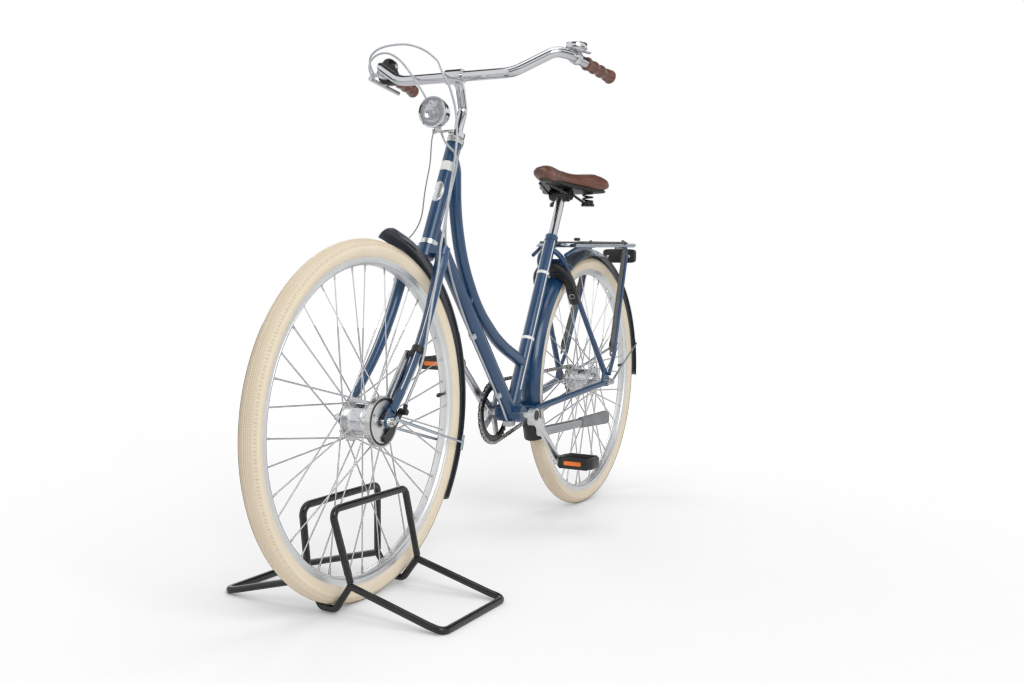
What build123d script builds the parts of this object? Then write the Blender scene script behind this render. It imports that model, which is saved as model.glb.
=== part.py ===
from build123d import *
import os
from math import atan2, cos, degrees, hypot, pi, radians, sin, sqrt, tan

# A city bicycle that stands with its front wheel in a tubular wheel stand.
# Millimetres. The bicycle points along -Y, its left side is +X and +Z is up.
# The origin is on the floor, under the middle of the whole object.

# ---------------------------------------------------------------- driving dimensions
wheelbase = 1086.0
rim_radius = 313.0           # axle to the tyre's seat
tyre_height = 37.0           # tread above that seat
tyre_width = 40.0
rim_width = 25.0
rim_height = 14.0
rim_lip = 4.0
spokes_per_wheel = 36
spoke_radius = 1.0

head_angle = radians(65.5)
head_length = 235.0
head_tube_radius = 17.0
head_tube_bore = 14.5
steerer_radius = 12.7
fork_clearance = 65.0        # head tube's lower end beyond the tread, along the steering axis
fork_offset = 58.0
fork_blade_top_radius = 13.0
fork_blade_tip_radius = 7.5
fork_dropout_gap = 100.0

bracket_drop = 50.0          # bottom bracket axis below the wheel axles
chain_stay_clearance = 113.5 # bottom bracket axis beyond the rear tread
bracket_shell_radius = 20.0
bracket_shell_width = 68.0
seat_angle = radians(64.0)
seat_tube_length = 496.0
seat_tube_radius = 15.9
seat_post_radius = 13.0
seat_post_length = 617.0     # bottom bracket axis to the saddle clamp, along the seat tube
top_tube_radius = 14.0
down_tube_radius = 17.0
stay_radius = 8.5
rear_dropout_gap = 135.0
dropout_thickness = 5.0

guard_overlap = 7.0          # mudguard beyond the tyre on each side
guard_crown = 20.0           # depth of the mudguard's curved section
guard_thickness = 1.6
front_guard_gap = 27.0       # tread to the front mudguard's crown, about its own centre
rear_guard_gap = 22.0

bar_radius = 11.1
stem_reach = 61.0
stem_rise = 133.3            # head tube's upper end to the bar, along the steering axis
grip_radius = 16.0
lamp_radius = 33.0

crank_length = 170.0
crank_angle = radians(-47.0) # left crank, from straight back, downwards
chain_line = 45.0
chain_pitch = 12.7
chainring_teeth = 38
sprocket_teeth = 18
chain_half_height = 4.0
chain_width = 6.5
pedal_length = 98.0
pedal_width = 76.0
pedal_height = 28.0

saddle_length = 262.0
saddle_width = 214.0

rack_overhang = 249.0        # the rack's end behind the rear axle
rack_width = 124.0
rack_clearance = 20.0        # rear mudguard's crown to the rack's rear end
rack_rise = 19.0             # the rack's rear end above its front
rack_rod_radius = 6.0
kick_length = 335.0
kick_depth = 24.0
kick_thickness = 14.0

stand_radius = 6.5
stand_half_width = 247.0
stand_half_length = 115.0
stand_hoop_height = 205.0
stand_joint_height = 58.0

running_gap = 0.05           # a shaft in its bore
seat_gap = 0.3               # curved pieces that only rest on each other

os.makedirs("parts", exist_ok=True)

# ---------------------------------------------------------------- places worked out from them
tyre_radius = rim_radius + tyre_height
guard_width = tyre_width + 2 * guard_overlap
front_guard_radius = tyre_radius + front_guard_gap
rear_guard_radius = tyre_radius + rear_guard_gap
middle = -16.0               # centres the whole object's box
front_axle = Vector(0, middle - wheelbase / 2, tyre_radius)
rear_axle = Vector(0, middle + wheelbase / 2, tyre_radius)
front_guard_centre = front_axle + Vector(0, -10, 9)
rear_guard_centre = rear_axle + Vector(0, 3, 0)
chain_stay_length = tyre_radius + chain_stay_clearance
chain_stay_run = sqrt(chain_stay_length**2 - bracket_drop**2)
bracket = Vector(0, rear_axle.Y - chain_stay_run, tyre_radius - bracket_drop)
fork_length = tyre_radius + fork_clearance
rack_height = rear_axle.Z + rear_guard_radius + rack_clearance

steer_up = Vector(0, cos(head_angle), sin(head_angle))
steer_back = Vector(0, sin(head_angle), -cos(head_angle))
steer_foot = front_axle + steer_back * fork_offset
head_low = steer_foot + steer_up * fork_length
head_high = head_low + steer_up * head_length
seat_up = Vector(0, cos(seat_angle), sin(seat_angle))
seat_back = Vector(0, sin(seat_angle), -cos(seat_angle))
seat_high = bracket + seat_up * seat_tube_length
post_high = bracket + seat_up * seat_post_length
bar_centre = head_high + steer_up * stem_rise - steer_back * stem_reach


def on_steering(height, back=0.0, side=0.0):
    """A point by its distance up the steering axis from the head tube's lower end."""
    return head_low + steer_up * height + steer_back * back + Vector(side, 0, 0)


def on_seat_tube(height, back=0.0, side=0.0):
    """A point by its distance up the seat tube from the bottom bracket."""
    return bracket + seat_up * height + seat_back * back + Vector(side, 0, 0)


def about_axle(axle, radius, angle, side=0.0):
    """A point round an axle: angle 0 is straight back and 90 degrees is up."""
    turn = radians(angle)
    return Vector(side, axle.Y + radius * cos(turn), axle.Z + radius * sin(turn))


# ---------------------------------------------------------------- helpers for the active part
def across(point, side=0.0):
    """A sketch plane that faces +X, with its own x along +Y."""
    return Plane(origin=(side, point.Y, point.Z), x_dir=(0, 1, 0), z_dir=(1, 0, 0))


def disc(point, start, end, radius, mode=Mode.ADD):
    """A round bar along X from start to end."""
    with BuildSketch(across(point, start)) as face:
        Circle(radius)
    extrude(face.sketch, amount=end - start, mode=mode)


def barrel(start, end, radius, mode=Mode.ADD, end_radius=None):
    """A round bar, or a cone, between any two points."""
    run = end - start
    with BuildSketch(Plane(origin=start, z_dir=run)) as face:
        Circle(radius)
    if end_radius is None:
        extrude(face.sketch, amount=run.length, mode=mode)
        return
    with BuildSketch(Plane(origin=end, z_dir=run)) as far_face:
        Circle(end_radius)
    loft([face.sketch, far_face.sketch], mode=mode)


def rod(points, radius, bend=None, mode=Mode.ADD):
    """A round section carried along straight runs, with each corner bent to a radius."""
    with BuildLine() as path:
        if bend is None:
            Polyline(*points)
        else:
            FilletPolyline(*points, radius=bend)
    wire = path.wires()[0]
    with BuildSketch(Plane(origin=wire @ 0, z_dir=wire % 0)) as face:
        Circle(radius)
    sweep(face.sketch, path=wire, mode=mode)


def cable(points, radius):
    """A cable held along its way: straight runs joined by the widest arcs that they leave room for."""
    corners = [Vector(*point) for point in points]
    bends = []
    for before, corner, after in zip(corners, corners[1:], corners[2:]):
        run_in = corner - before
        run_out = after - corner
        half_turn = radians(run_in.get_angle(run_out)) / 2
        bends.append(0.45 * min(run_in.length, run_out.length) / tan(half_turn))
    rod(corners, radius, bends)
    return min(bends)


def arch(axle, radius, start, end, width, thickness=guard_thickness, crown=guard_crown):
    """A mudguard: a curved section turned about a centre from one angle to another."""
    half = width / 2
    with BuildSketch(Plane.XY.offset(axle.Z)) as section:
        with BuildLine():
            ThreePointArc(
                (-half, axle.Y + radius - crown), (0, axle.Y + radius), (half, axle.Y + radius - crown)
            )
            Line((half, axle.Y + radius - crown), (half, axle.Y + radius - crown - thickness))
            ThreePointArc(
                (half, axle.Y + radius - crown - thickness),
                (0, axle.Y + radius - thickness),
                (-half, axle.Y + radius - crown - thickness),
            )
            Line((-half, axle.Y + radius - crown - thickness), (-half, axle.Y + radius - crown))
        make_face()
    axis = Axis((0, axle.Y, axle.Z), (1, 0, 0))
    revolve(section.sketch.rotate(axis, start), axis=axis, revolution_arc=end - start)


def save(name, part):
    """Label a finished piece and write it as a STEP file of its own."""
    part.label = name
    export_step(part, f"parts/{name}.step")


# ---------------------------------------------------------------- wheels
def make_tyre():
    """A round tyre whose inner side is cut to the rim and its lips."""
    with BuildSketch(Plane.XY) as section:
        with Locations((0, tyre_radius - tyre_width / 2)):
            Circle(tyre_width / 2)
        with Locations((0, rim_radius - tyre_width / 2)):
            Rectangle(tyre_width * 2, tyre_width, mode=Mode.SUBTRACT)
        with Locations((0, rim_radius)):
            Rectangle(rim_width, 2 * rim_lip, mode=Mode.SUBTRACT)
    revolve(section.sketch, axis=Axis.X)


def make_rim():
    """A box rim with two lips that hold the tyre."""
    with BuildSketch(Plane.XY) as section:
        with Locations((0, rim_radius - rim_height / 2)):
            Rectangle(rim_width, rim_height)
        with Locations((0, rim_radius + rim_lip / 2)):
            Rectangle(rim_width, rim_lip)
        fillet(section.vertices().group_by(Axis.Y)[0], rim_height * 0.4)
    revolve(section.sketch, axis=Axis.X)


def make_spokes(flange_radius, flange_side, cross_angle):
    """Straight spokes from both flanges to the rim, laced forwards and backwards in turn."""
    per_flange = spokes_per_wheel // 2
    step = 360 / per_flange
    for side in (-1, 1):
        for index in range(per_flange):
            lead = 1 if index % 2 == 0 else -1
            hub_turn = radians(index * step + (step / 2 if side < 0 else 0))
            rim_turn = hub_turn + lead * radians(cross_angle)
            foot_side = side * (flange_side + lead * 2.2)
            rim_side = side * (3.2 + lead * 1.6)
            foot = Vector(foot_side, flange_radius * cos(hub_turn), flange_radius * sin(hub_turn))
            tip_radius = rim_radius - rim_height - 2 * seat_gap
            tip = Vector(rim_side, tip_radius * cos(rim_turn), tip_radius * sin(rim_turn))
            barrel(foot, tip, spoke_radius)


def make_hub(shell_radius, flange_radius, flange_side, flange_thickness, half_length, bore):
    """A hub shell with two spoke flanges, turned about the axle."""
    with BuildSketch(Plane.XY) as section:
        with BuildLine():
            Polyline(
                (-half_length, bore),
                (-half_length, shell_radius * 0.7),
                (-flange_side - flange_thickness / 2, shell_radius * 0.7),
                (-flange_side - flange_thickness / 2, flange_radius),
                (-flange_side + flange_thickness / 2, flange_radius),
                (-flange_side + flange_thickness / 2, shell_radius),
                (flange_side - flange_thickness / 2, shell_radius),
                (flange_side - flange_thickness / 2, flange_radius),
                (flange_side + flange_thickness / 2, flange_radius),
                (flange_side + flange_thickness / 2, shell_radius * 0.7),
                (half_length, shell_radius * 0.7),
                (half_length, bore),
                close=True,
            )
        make_face()
    revolve(section.sketch, axis=Axis.X)


front_flange_radius = 42.0
front_hub_radius = 33.0
rear_flange_radius = 36.0
rear_hub_radius = 29.0
flange_side = 27.0
flange_thickness = 3.0
spoke_hole_margin = 1.5
axle_radius = 5.0
front_hub_half = 32.0
rear_hub_half = 38.0

for wheel, axle, flange, shell, half, cross in (
    ("front", front_axle, front_flange_radius, front_hub_radius, front_hub_half, 40),
    ("rear", rear_axle, rear_flange_radius, rear_hub_radius, rear_hub_half, 60),
):
    place = Pos(axle.X, axle.Y, axle.Z)
    with BuildPart() as tyre:
        make_tyre()
    save(f"{wheel}_tyre", place * tyre.part)
    with BuildPart() as rim:
        make_rim()
    save(f"{wheel}_rim", place * rim.part)
    with BuildPart() as spokes:
        make_spokes(flange + spoke_hole_margin, flange_side, cross)
    save(f"{wheel}_spokes", place * spokes.part)
    with BuildPart() as hub:
        make_hub(shell, flange, flange_side, flange_thickness, half, axle_radius + running_gap)
        if wheel == "rear":
            sprocket_radius = chain_pitch / (2 * sin(pi / sprocket_teeth)) - chain_half_height - seat_gap
            disc(Vector(0, 0, 0), -chain_line - 1.5, -rear_hub_half, sprocket_radius)
            disc(Vector(0, 0, 0), -chain_line - 1.5, -rear_hub_half, axle_radius + running_gap, Mode.SUBTRACT)
    save(f"{wheel}_hub", place * hub.part)

# ---------------------------------------------------------------- fork and steering parts
crown_height = -24.0         # crown's middle, below the head tube's lower end
crown_thickness = 26.0
blade_side_top = guard_width / 2 + fork_blade_top_radius + 2
blade_bend_height = 165.0 - fork_length
blade_bend_radius = 650.0
blade_side_tip = fork_dropout_gap / 2 + dropout_thickness / 2

with BuildPart() as fork:
    for side in (-1, 1):
        tip = front_axle + Vector(side * blade_side_tip, 0, 0) + steer_up * 22 + steer_back * 4
        with BuildLine() as blade_line:
            FilletPolyline(
                on_steering(crown_height, 0, side * blade_side_top),
                on_steering(blade_bend_height, 0, side * (blade_side_top + 5)),
                tip,
                radius=blade_bend_radius,
            )
        blade = blade_line.wires()[0]
        with BuildSketch(Plane(origin=blade @ 0, z_dir=blade % 0)) as blade_root:
            Circle(fork_blade_top_radius)
        with BuildSketch(Plane(origin=blade @ 1, z_dir=blade % 1)) as blade_end:
            Circle(fork_blade_tip_radius)
        sweep([blade_root.sketch, blade_end.sketch], path=blade, multisection=True)
        with BuildSketch(across(front_axle, side * blade_side_tip - dropout_thickness / 2)) as tab:
            with Locations((0, 0), (tip.Y - front_axle.Y, tip.Z - front_axle.Z)):
                Circle(11)
            make_hull()
        extrude(tab.sketch, amount=dropout_thickness)
        disc(front_axle, side * blade_side_tip - 10, side * blade_side_tip + 10, axle_radius + seat_gap, Mode.SUBTRACT)
    barrel(on_steering(crown_height - crown_thickness / 2), on_steering(crown_height + crown_thickness / 2), 19)
    with BuildSketch(Plane(origin=on_steering(crown_height - 9), x_dir=(1, 0, 0), z_dir=steer_up)) as bridge:
        SlotOverall(2 * (blade_side_top + fork_blade_top_radius), 27)
    extrude(bridge.sketch, amount=18)
    barrel(on_steering(crown_height), on_steering(head_length + 22), steerer_radius)
save("fork", fork.part)

with BuildPart() as stem:
    nut_low = head_length + 15
    barrel(on_steering(nut_low), on_steering(nut_low + 14), 19)
    barrel(on_steering(nut_low), on_steering(head_length + 22), steerer_radius, Mode.SUBTRACT)
    rod(
        [
            on_steering(head_length + 22),
            on_steering(head_length + stem_rise - 45),
            on_steering(head_length + stem_rise - 6, -stem_reach * 0.55),
            on_steering(head_length + stem_rise, -stem_reach),
        ],
        11.0,
        24.0,
    )
    disc(bar_centre, -20, 20, bar_radius + 5)
    disc(bar_centre, -20, 20, bar_radius, Mode.SUBTRACT)
save("stem", stem.part)

bar_points = [
    Vector(140, 0, 0),
    Vector(222, 38, 46),
    Vector(240, 70, 44),
    Vector(262, 246, 27),
]
bar_bends = [60.0, 35.0, 60.0]


def bar_point(index, side):
    """A corner of the handlebar's line, from its middle."""
    corner = bar_points[index]
    return bar_centre + Vector(side * corner.X, corner.Y, corner.Z)


with BuildPart() as handlebar:
    rod(
        [
            bar_point(3, -1), bar_point(2, -1), bar_point(1, -1), bar_point(0, -1),
            bar_point(0, 1), bar_point(1, 1), bar_point(2, 1), bar_point(3, 1),
        ],
        bar_radius,
        bar_bends[::-1] + bar_bends,
    )
save("handlebar", handlebar.part)


def along_grip(distance, side):
    """A point on the handlebar's last straight run, measured forward from its end."""
    end = bar_point(3, side)
    return end + (bar_point(2, side) - end).normalized() * distance


grip_length = 112.0
with BuildPart() as grips:
    for side in (-1, 1):
        barrel(along_grip(-4, side), along_grip(grip_length, side), grip_radius)
    add(handlebar.part, mode=Mode.SUBTRACT)
save("grips", grips.part)

with BuildPart() as gear_shifter:
    barrel(along_grip(grip_length + 1, -1), along_grip(grip_length + 36, -1), 25)
    dial_up = Vector(0, 0, 23)
    barrel(along_grip(grip_length + 5, -1) + dial_up, along_grip(grip_length + 33, -1) + dial_up, 17)
    add(handlebar.part, mode=Mode.SUBTRACT)
save("gear_shifter", gear_shifter.part)

with BuildPart() as brake_lever:
    barrel(along_grip(grip_length + 39, -1), along_grip(grip_length + 55, -1), 16)
    lever_place = along_grip(grip_length + 47, -1)
    rod(
        [
            lever_place + Vector(-6, -6, -2),
            lever_place + Vector(-33, -21, -13),
            along_grip(95, -1) + Vector(-34, 0, -12),
            along_grip(30, -1) + Vector(-28, 0, -12),
        ],
        5.0,
        [10.0, 60.0],
    )
    add(handlebar.part, mode=Mode.SUBTRACT)
save("brake_lever", brake_lever.part)

with BuildPart() as bell:
    seat = along_grip(grip_length + 42, 1)
    barrel(seat - Vector(0, 9, 0), seat + Vector(0, 9, 0), 15)
    barrel(seat, seat + Vector(0, 0, 13), 8)
    with BuildSketch(Plane.XY.offset(seat.Z + 13)) as dome:
        with Locations((seat.X, seat.Y)):
            Circle(25)
    extrude(dome.sketch, amount=18)
    fillet(bell.faces().sort_by(Axis.Z)[-1].edges(), 9)
    add(handlebar.part, mode=Mode.SUBTRACT)
save("bell", bell.part)

lamp_face = Vector(0, front_axle.Y + 229, 975)
with BuildPart() as headlamp:
    with BuildSketch(Plane(origin=lamp_face, x_dir=(1, 0, 0), z_dir=(0, 1, 0))) as lens:
        Circle(lamp_radius)
    extrude(lens.sketch, amount=22)
    with BuildSketch(Plane(origin=lamp_face + Vector(0, 22, 0), x_dir=(1, 0, 0), z_dir=(0, 1, 0))) as shell_wide:
        Circle(lamp_radius - 2)
    with BuildSketch(Plane(origin=lamp_face + Vector(0, 42, 0), x_dir=(1, 0, 0), z_dir=(0, 1, 0))) as shell_narrow:
        Circle(lamp_radius - 14)
    loft([shell_wide.sketch, shell_narrow.sketch])
    rod(
        [lamp_face + Vector(0, 30, -20), lamp_face + Vector(0, 40, -44), on_steering(head_length + 13, -12)],
        5.0,
        8.0,
    )
    barrel(on_steering(head_length + 6), on_steering(head_length + 14.5), 20)
    barrel(on_steering(head_length), on_steering(head_length + 22), steerer_radius, Mode.SUBTRACT)
    barrel(on_steering(head_length - 2), on_steering(head_length + 5.8), 30, Mode.SUBTRACT)
    add(stem.part, mode=Mode.SUBTRACT)
save("headlamp", headlamp.part)

# ---------------------------------------------------------------- front hub brake, axle and mudguard
brake_radius = 49.0
arm_inner = 37.5
arm_thickness = 3.0
arm_top = (86.0, 124.0)      # behind and above the axle
with BuildPart() as front_brake:
    disc(front_axle, -blade_side_tip - 17, blade_side_tip + 17, axle_radius)
    disc(front_axle, front_hub_half + 0.5, blade_side_tip - fork_blade_tip_radius - 2, brake_radius)
    for side in (-1, 1):
        disc(front_axle, side * (blade_side_tip + 2.5), side * (blade_side_tip + 10), 9)
    with BuildSketch(across(front_axle, arm_inner)) as arm:
        with Locations(arm_top):
            Circle(9)
        with Locations((0, 0)):
            Circle(20)
        make_hull()
    extrude(arm.sketch, amount=arm_thickness)
save("front_brake", front_brake.part)

# The brake's lever and cable end, the clamp that holds its arm to the blade, and the dynamo's plug.
lever_side = 43.0
lever_eye = front_axle + Vector(0, 53, 14)
lever_pivot = front_axle + Vector(0, 4, -32)
cable_end = Vector(blade_side_tip + 4, lever_eye.Y + 3, lever_eye.Z + 15)
clamp_share = 0.6            # along the left blade, from the crown
clamp_middle = blade @ clamp_share
clamp_way = blade % clamp_share
arm_end = front_axle + Vector(arm_inner + arm_thickness / 2, *arm_top)
with BuildPart() as hub_fittings:
    disc(lever_pivot, lever_side, lever_side + 4, 7.5)
    with BuildSketch(across(front_axle, lever_side + 2)) as lever:
        with Locations((lever_eye.Y - front_axle.Y, lever_eye.Z - front_axle.Z)):
            Circle(7)
        with Locations((lever_pivot.Y - front_axle.Y, lever_pivot.Z - front_axle.Z)):
            Circle(9)
        make_hull()
    extrude(lever.sketch, amount=4)
    disc(lever_eye, lever_side + 3, blade_side_tip + 9.5, 5.5)
    barrel(Vector(cable_end.X, lever_eye.Y, lever_eye.Z), cable_end, 4)
    barrel(clamp_middle - clamp_way * 7, clamp_middle + clamp_way * 7, fork_blade_top_radius)
    barrel(arm_end, clamp_middle, 6)
    with BuildSketch(across(front_axle, -arm_inner - 7)) as plug:
        with Locations((2, 12)):
            Rectangle(20, 20)
    extrude(plug.sketch, amount=7)
    add(front_brake.part, mode=Mode.SUBTRACT)
    add(fork.part, mode=Mode.SUBTRACT)
save("hub_fittings", hub_fittings.part)

front_guard_low = -35.0
front_guard_tip = 76.3
with BuildPart() as front_mudguard:
    arch(front_guard_centre, front_guard_radius, front_guard_low, front_guard_tip, guard_width)
    crown_foot = on_steering(crown_height)
    crown_way = crown_foot - front_guard_centre
    crown_turn = degrees(atan2(crown_way.Z, crown_way.Y))
    barrel(about_axle(front_guard_centre, front_guard_radius - 1, crown_turn), crown_foot, 6)
    add(fork.part, mode=Mode.SUBTRACT)
save("front_mudguard", front_mudguard.part)

stay_angle = -15.0
wire_radius = 2.5
with BuildPart() as front_mudguard_stays:
    for side in (-1, 1):
        low = front_axle + Vector(side * (blade_side_tip + dropout_thickness / 2 + 3), 20, 4)
        beside = side * (guard_width / 2 + wire_radius + seat_gap)
        high = about_axle(front_guard_centre, front_guard_radius - guard_crown - 2, stay_angle, beside)
        rod([low, high], wire_radius)
        disc(low, low.X - side * 3, low.X + side * 3, 6)
save("front_mudguard_stays", front_mudguard_stays.part)

# ---------------------------------------------------------------- wheel stand
stand_shift = 6.0            # the stand's middle lies this far behind the axle
stand_front = front_axle.Y - stand_half_length + stand_shift
stand_rear = front_axle.Y + stand_half_length + stand_shift
joint_side = 48.0
hoop_side = tyre_width / 2 + stand_radius + 6.5
hoop_lean_front = 40.0
hoop_lean_rear = 26.0

with BuildPart() as stand_feet:
    for side in (-1, 1):
        corner = side * (stand_half_width - 30)
        rod(
            [
                (corner, stand_front, stand_radius + 6),
                (side * stand_half_width, stand_front, stand_radius),
                (side * stand_half_width, stand_rear, stand_radius),
                (corner, stand_rear, stand_radius + 6),
            ],
            stand_radius,
            16.0,
        )
save("stand_feet", stand_feet.part)

leg_corner = Vector(stand_half_width - 30, 0, stand_radius + 6)
with BuildPart() as stand_legs:
    for side in (-1, 1):
        for across_y in (stand_front, stand_rear):
            barrel(
                Vector(side * leg_corner.X, across_y, leg_corner.Z),
                Vector(side * joint_side, across_y, stand_joint_height),
                stand_radius,
            )
    add(stand_feet.part, mode=Mode.SUBTRACT)
save("stand_legs", stand_legs.part)

with BuildPart() as stand_cradles:
    for across_y in (stand_front, stand_rear):
        cradle_reach = tyre_radius + stand_radius + seat_gap
        cradle_height = tyre_radius - sqrt(cradle_reach**2 - (across_y - front_axle.Y) ** 2)
        rod(
            [
                (-joint_side, across_y, stand_joint_height),
                (-joint_side / 3, across_y, cradle_height),
                (joint_side / 3, across_y, cradle_height),
                (joint_side, across_y, stand_joint_height),
            ],
            stand_radius,
            14.0,
        )
    add(stand_legs.part, mode=Mode.SUBTRACT)
save("stand_cradles", stand_cradles.part)

with BuildPart() as stand_hoops:
    for side in (-1, 1):
        rod(
            [
                (side * joint_side, stand_front, stand_joint_height + stand_radius),
                (side * hoop_side, stand_front - hoop_lean_front, stand_hoop_height),
                (side * hoop_side, stand_rear - hoop_lean_rear, stand_hoop_height),
                (side * joint_side, stand_rear, stand_joint_height + stand_radius),
            ],
            stand_radius,
            16.0,
        )
    add(stand_legs.part, mode=Mode.SUBTRACT)
    add(stand_cradles.part, mode=Mode.SUBTRACT)
save("stand_hoops", stand_hoops.part)

# ---------------------------------------------------------------- frame
with BuildPart() as head_envelope:
    barrel(on_steering(0), on_steering(head_length), head_tube_radius)
with BuildPart() as shell_envelope:
    disc(bracket, -bracket_shell_width / 2, bracket_shell_width / 2, bracket_shell_radius)
with BuildPart() as seat_envelope:
    barrel(bracket, seat_high, seat_tube_radius)

with BuildPart() as head_tube:
    add(head_envelope.part)
    barrel(on_steering(0), on_steering(head_length), head_tube_bore, Mode.SUBTRACT)
save("head_tube", head_tube.part)

cup_height = 10.5
with BuildPart() as headset_cups:
    barrel(on_steering(-cup_height), on_steering(0), head_tube_radius + 3)
    barrel(on_steering(head_length), on_steering(head_length + 5.5), head_tube_radius + 3)
    barrel(on_steering(-20), on_steering(head_length + 20), steerer_radius + running_gap, Mode.SUBTRACT)
save("headset_cups", headset_cups.part)

with BuildPart() as bottom_bracket:
    add(shell_envelope.part)
    disc(bracket, -bracket_shell_width / 2, bracket_shell_width / 2, 8.5 + running_gap, Mode.SUBTRACT)
save("bottom_bracket", bottom_bracket.part)

with BuildPart() as seat_tube:
    add(seat_envelope.part)
    barrel(on_seat_tube(seat_tube_length - 150), seat_high, seat_post_radius + running_gap, Mode.SUBTRACT)
    add(shell_envelope.part, mode=Mode.SUBTRACT)
save("seat_tube", seat_tube.part)

down_tube_joint = 30.0
with BuildPart() as down_tube:
    barrel(on_steering(down_tube_joint), bracket, down_tube_radius)
    add(head_envelope.part, mode=Mode.SUBTRACT)
    add(shell_envelope.part, mode=Mode.SUBTRACT)
    add(seat_envelope.part, mode=Mode.SUBTRACT)
    barrel(on_steering(-40), on_steering(0), head_tube_radius + 3 + seat_gap, Mode.SUBTRACT)
save("down_tube", down_tube.part)

down_run = (bracket - on_steering(down_tube_joint)).normalized()
down_out = Vector(0, down_run.Z, -down_run.Y)


def on_down_tube(distance, out=0.0, side=0.0):
    """A point by its distance down the down tube, forwards and under it, and to one side."""
    return on_steering(down_tube_joint) + down_run * distance + down_out * out + Vector(side, 0, 0)


bridge_place = 225.0
top_tube_joint = 205.0
top_tube_seat_joint = 135.0
top_tube_shape = [(0.95, 0.97), (0.94, 0.755), (0.855, 0.52), (0.65, 0.29), (0.36, 0.12)]
top_tube_bends = [45.0, 350.0, 350.0, 340.0, 360.0]
tube_start = on_steering(top_tube_joint)
tube_finish = on_seat_tube(top_tube_seat_joint)
tube_span = tube_start - tube_finish
with BuildPart() as top_tube:
    corners = [tube_finish + Vector(0, tube_span.Y * fy, tube_span.Z * fz) for fy, fz in top_tube_shape]
    rod([tube_start, *corners, tube_finish], top_tube_radius, top_tube_bends)
    barrel(on_down_tube(bridge_place), on_down_tube(bridge_place, -45), 9)
    add(down_tube.part, mode=Mode.SUBTRACT)
    add(head_envelope.part, mode=Mode.SUBTRACT)
    add(seat_envelope.part, mode=Mode.SUBTRACT)
save("top_tube", top_tube.part)

rear_dropout_side = (rear_dropout_gap + dropout_thickness) / 2
chain_stay_side = guard_width / 2 + 7.5
stay_bridge_run = 80.0
with BuildPart() as chain_stays:
    for side in (-1, 1):
        rod(
            [
                bracket + Vector(side * 24, 4, 0),
                bracket + Vector(side * chain_stay_side, 44, 3),
                bracket + Vector(side * (chain_stay_side + 0.5), 104, 10),
                rear_axle + Vector(side * rear_dropout_side, -34, -4),
            ],
            stay_radius - 0.5,
            [60.0, 80.0],
        )
        with BuildSketch(across(rear_axle, side * rear_dropout_side - dropout_thickness / 2)) as plate:
            with Locations((0, 0)):
                Circle(13)
            with Locations((-32, -4), (-20, 30)):
                Circle(8)
            make_hull()
        extrude(plate.sketch, amount=dropout_thickness)
        edge = side * rear_dropout_side
        disc(rear_axle, edge - 10, edge + 10, axle_radius + seat_gap, Mode.SUBTRACT)
    stay_bridge = bracket + Vector(0, stay_bridge_run, 7)
    disc(stay_bridge, -chain_stay_side, chain_stay_side, 6)
    add(shell_envelope.part, mode=Mode.SUBTRACT)
    add(seat_envelope.part, mode=Mode.SUBTRACT)
save("chain_stays", chain_stays.part)

seat_stay_joint = 456.0
seat_stay_side = guard_width / 2 + stay_radius - 1.5 + seat_gap
stay_knee = on_seat_tube(446, 17)
stay_foot = rear_axle + Vector(0, -24, 30)
stay_run = (stay_foot - stay_knee).normalized()
seat_bridge = stay_knee + stay_run * 16
with BuildPart() as seat_stays:
    for side in (-1, 1):
        rod(
            [
                on_seat_tube(seat_stay_joint, 0, side * 10),
                stay_knee + Vector(side * seat_stay_side, 0, 0),
                stay_foot + Vector(side * rear_dropout_side, 0, 0),
            ],
            stay_radius - 1.5,
            60.0,
        )
    disc(seat_bridge, -seat_stay_side, seat_stay_side, 6)
    add(seat_envelope.part, mode=Mode.SUBTRACT)
    add(chain_stays.part, mode=Mode.SUBTRACT)
save("seat_stays", seat_stays.part)

with BuildPart() as seat_post:
    barrel(on_seat_tube(seat_tube_length - 90), post_high, seat_post_radius)
save("seat_post", seat_post.part)

# ---------------------------------------------------------------- saddle
clamp_length = 44.0
rail_side = 21.0
spring_side = 47.0
spring_radius = 16.0
spring_place = post_high + Vector(0, 72, -14)
spring_height = 42.0
with BuildPart() as saddle_frame:
    disc(post_high + Vector(0, 0, 2), -clamp_length / 2, clamp_length / 2, 17)
    barrel(on_seat_tube(seat_tube_length), post_high + seat_up * 30, seat_post_radius + running_gap, Mode.SUBTRACT)
    barrel(post_high + seat_up * seat_gap, post_high + seat_up * 8, seat_post_radius)
    for side in (-1, 1):
        rod(
            [
                post_high + Vector(side * 10, -112, 24),
                post_high + Vector(side * (rail_side + 4), -30, 6),
                post_high + Vector(side * (rail_side + 4), 24, 4),
                spring_place + Vector(side * spring_side, 0, -6),
            ],
            3.5,
            18.0,
        )
        disc(post_high + Vector(0, 0, 4), side * rail_side, side * (rail_side + 9), 15)
        barrel(
            spring_place + Vector(side * spring_side, 0, -9),
            spring_place + Vector(side * spring_side, 0, -2),
            spring_radius + 2,
        )
save("saddle_frame", saddle_frame.part)

with BuildPart() as saddle_springs:
    for side in (-1, 1):
        foot = spring_place + Vector(side * spring_side, 0, -2)
        barrel(foot, foot + Vector(0, 0, spring_height - 1), spring_radius)
    add(saddle_frame.part, mode=Mode.SUBTRACT)
save("saddle_springs", saddle_springs.part)

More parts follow.
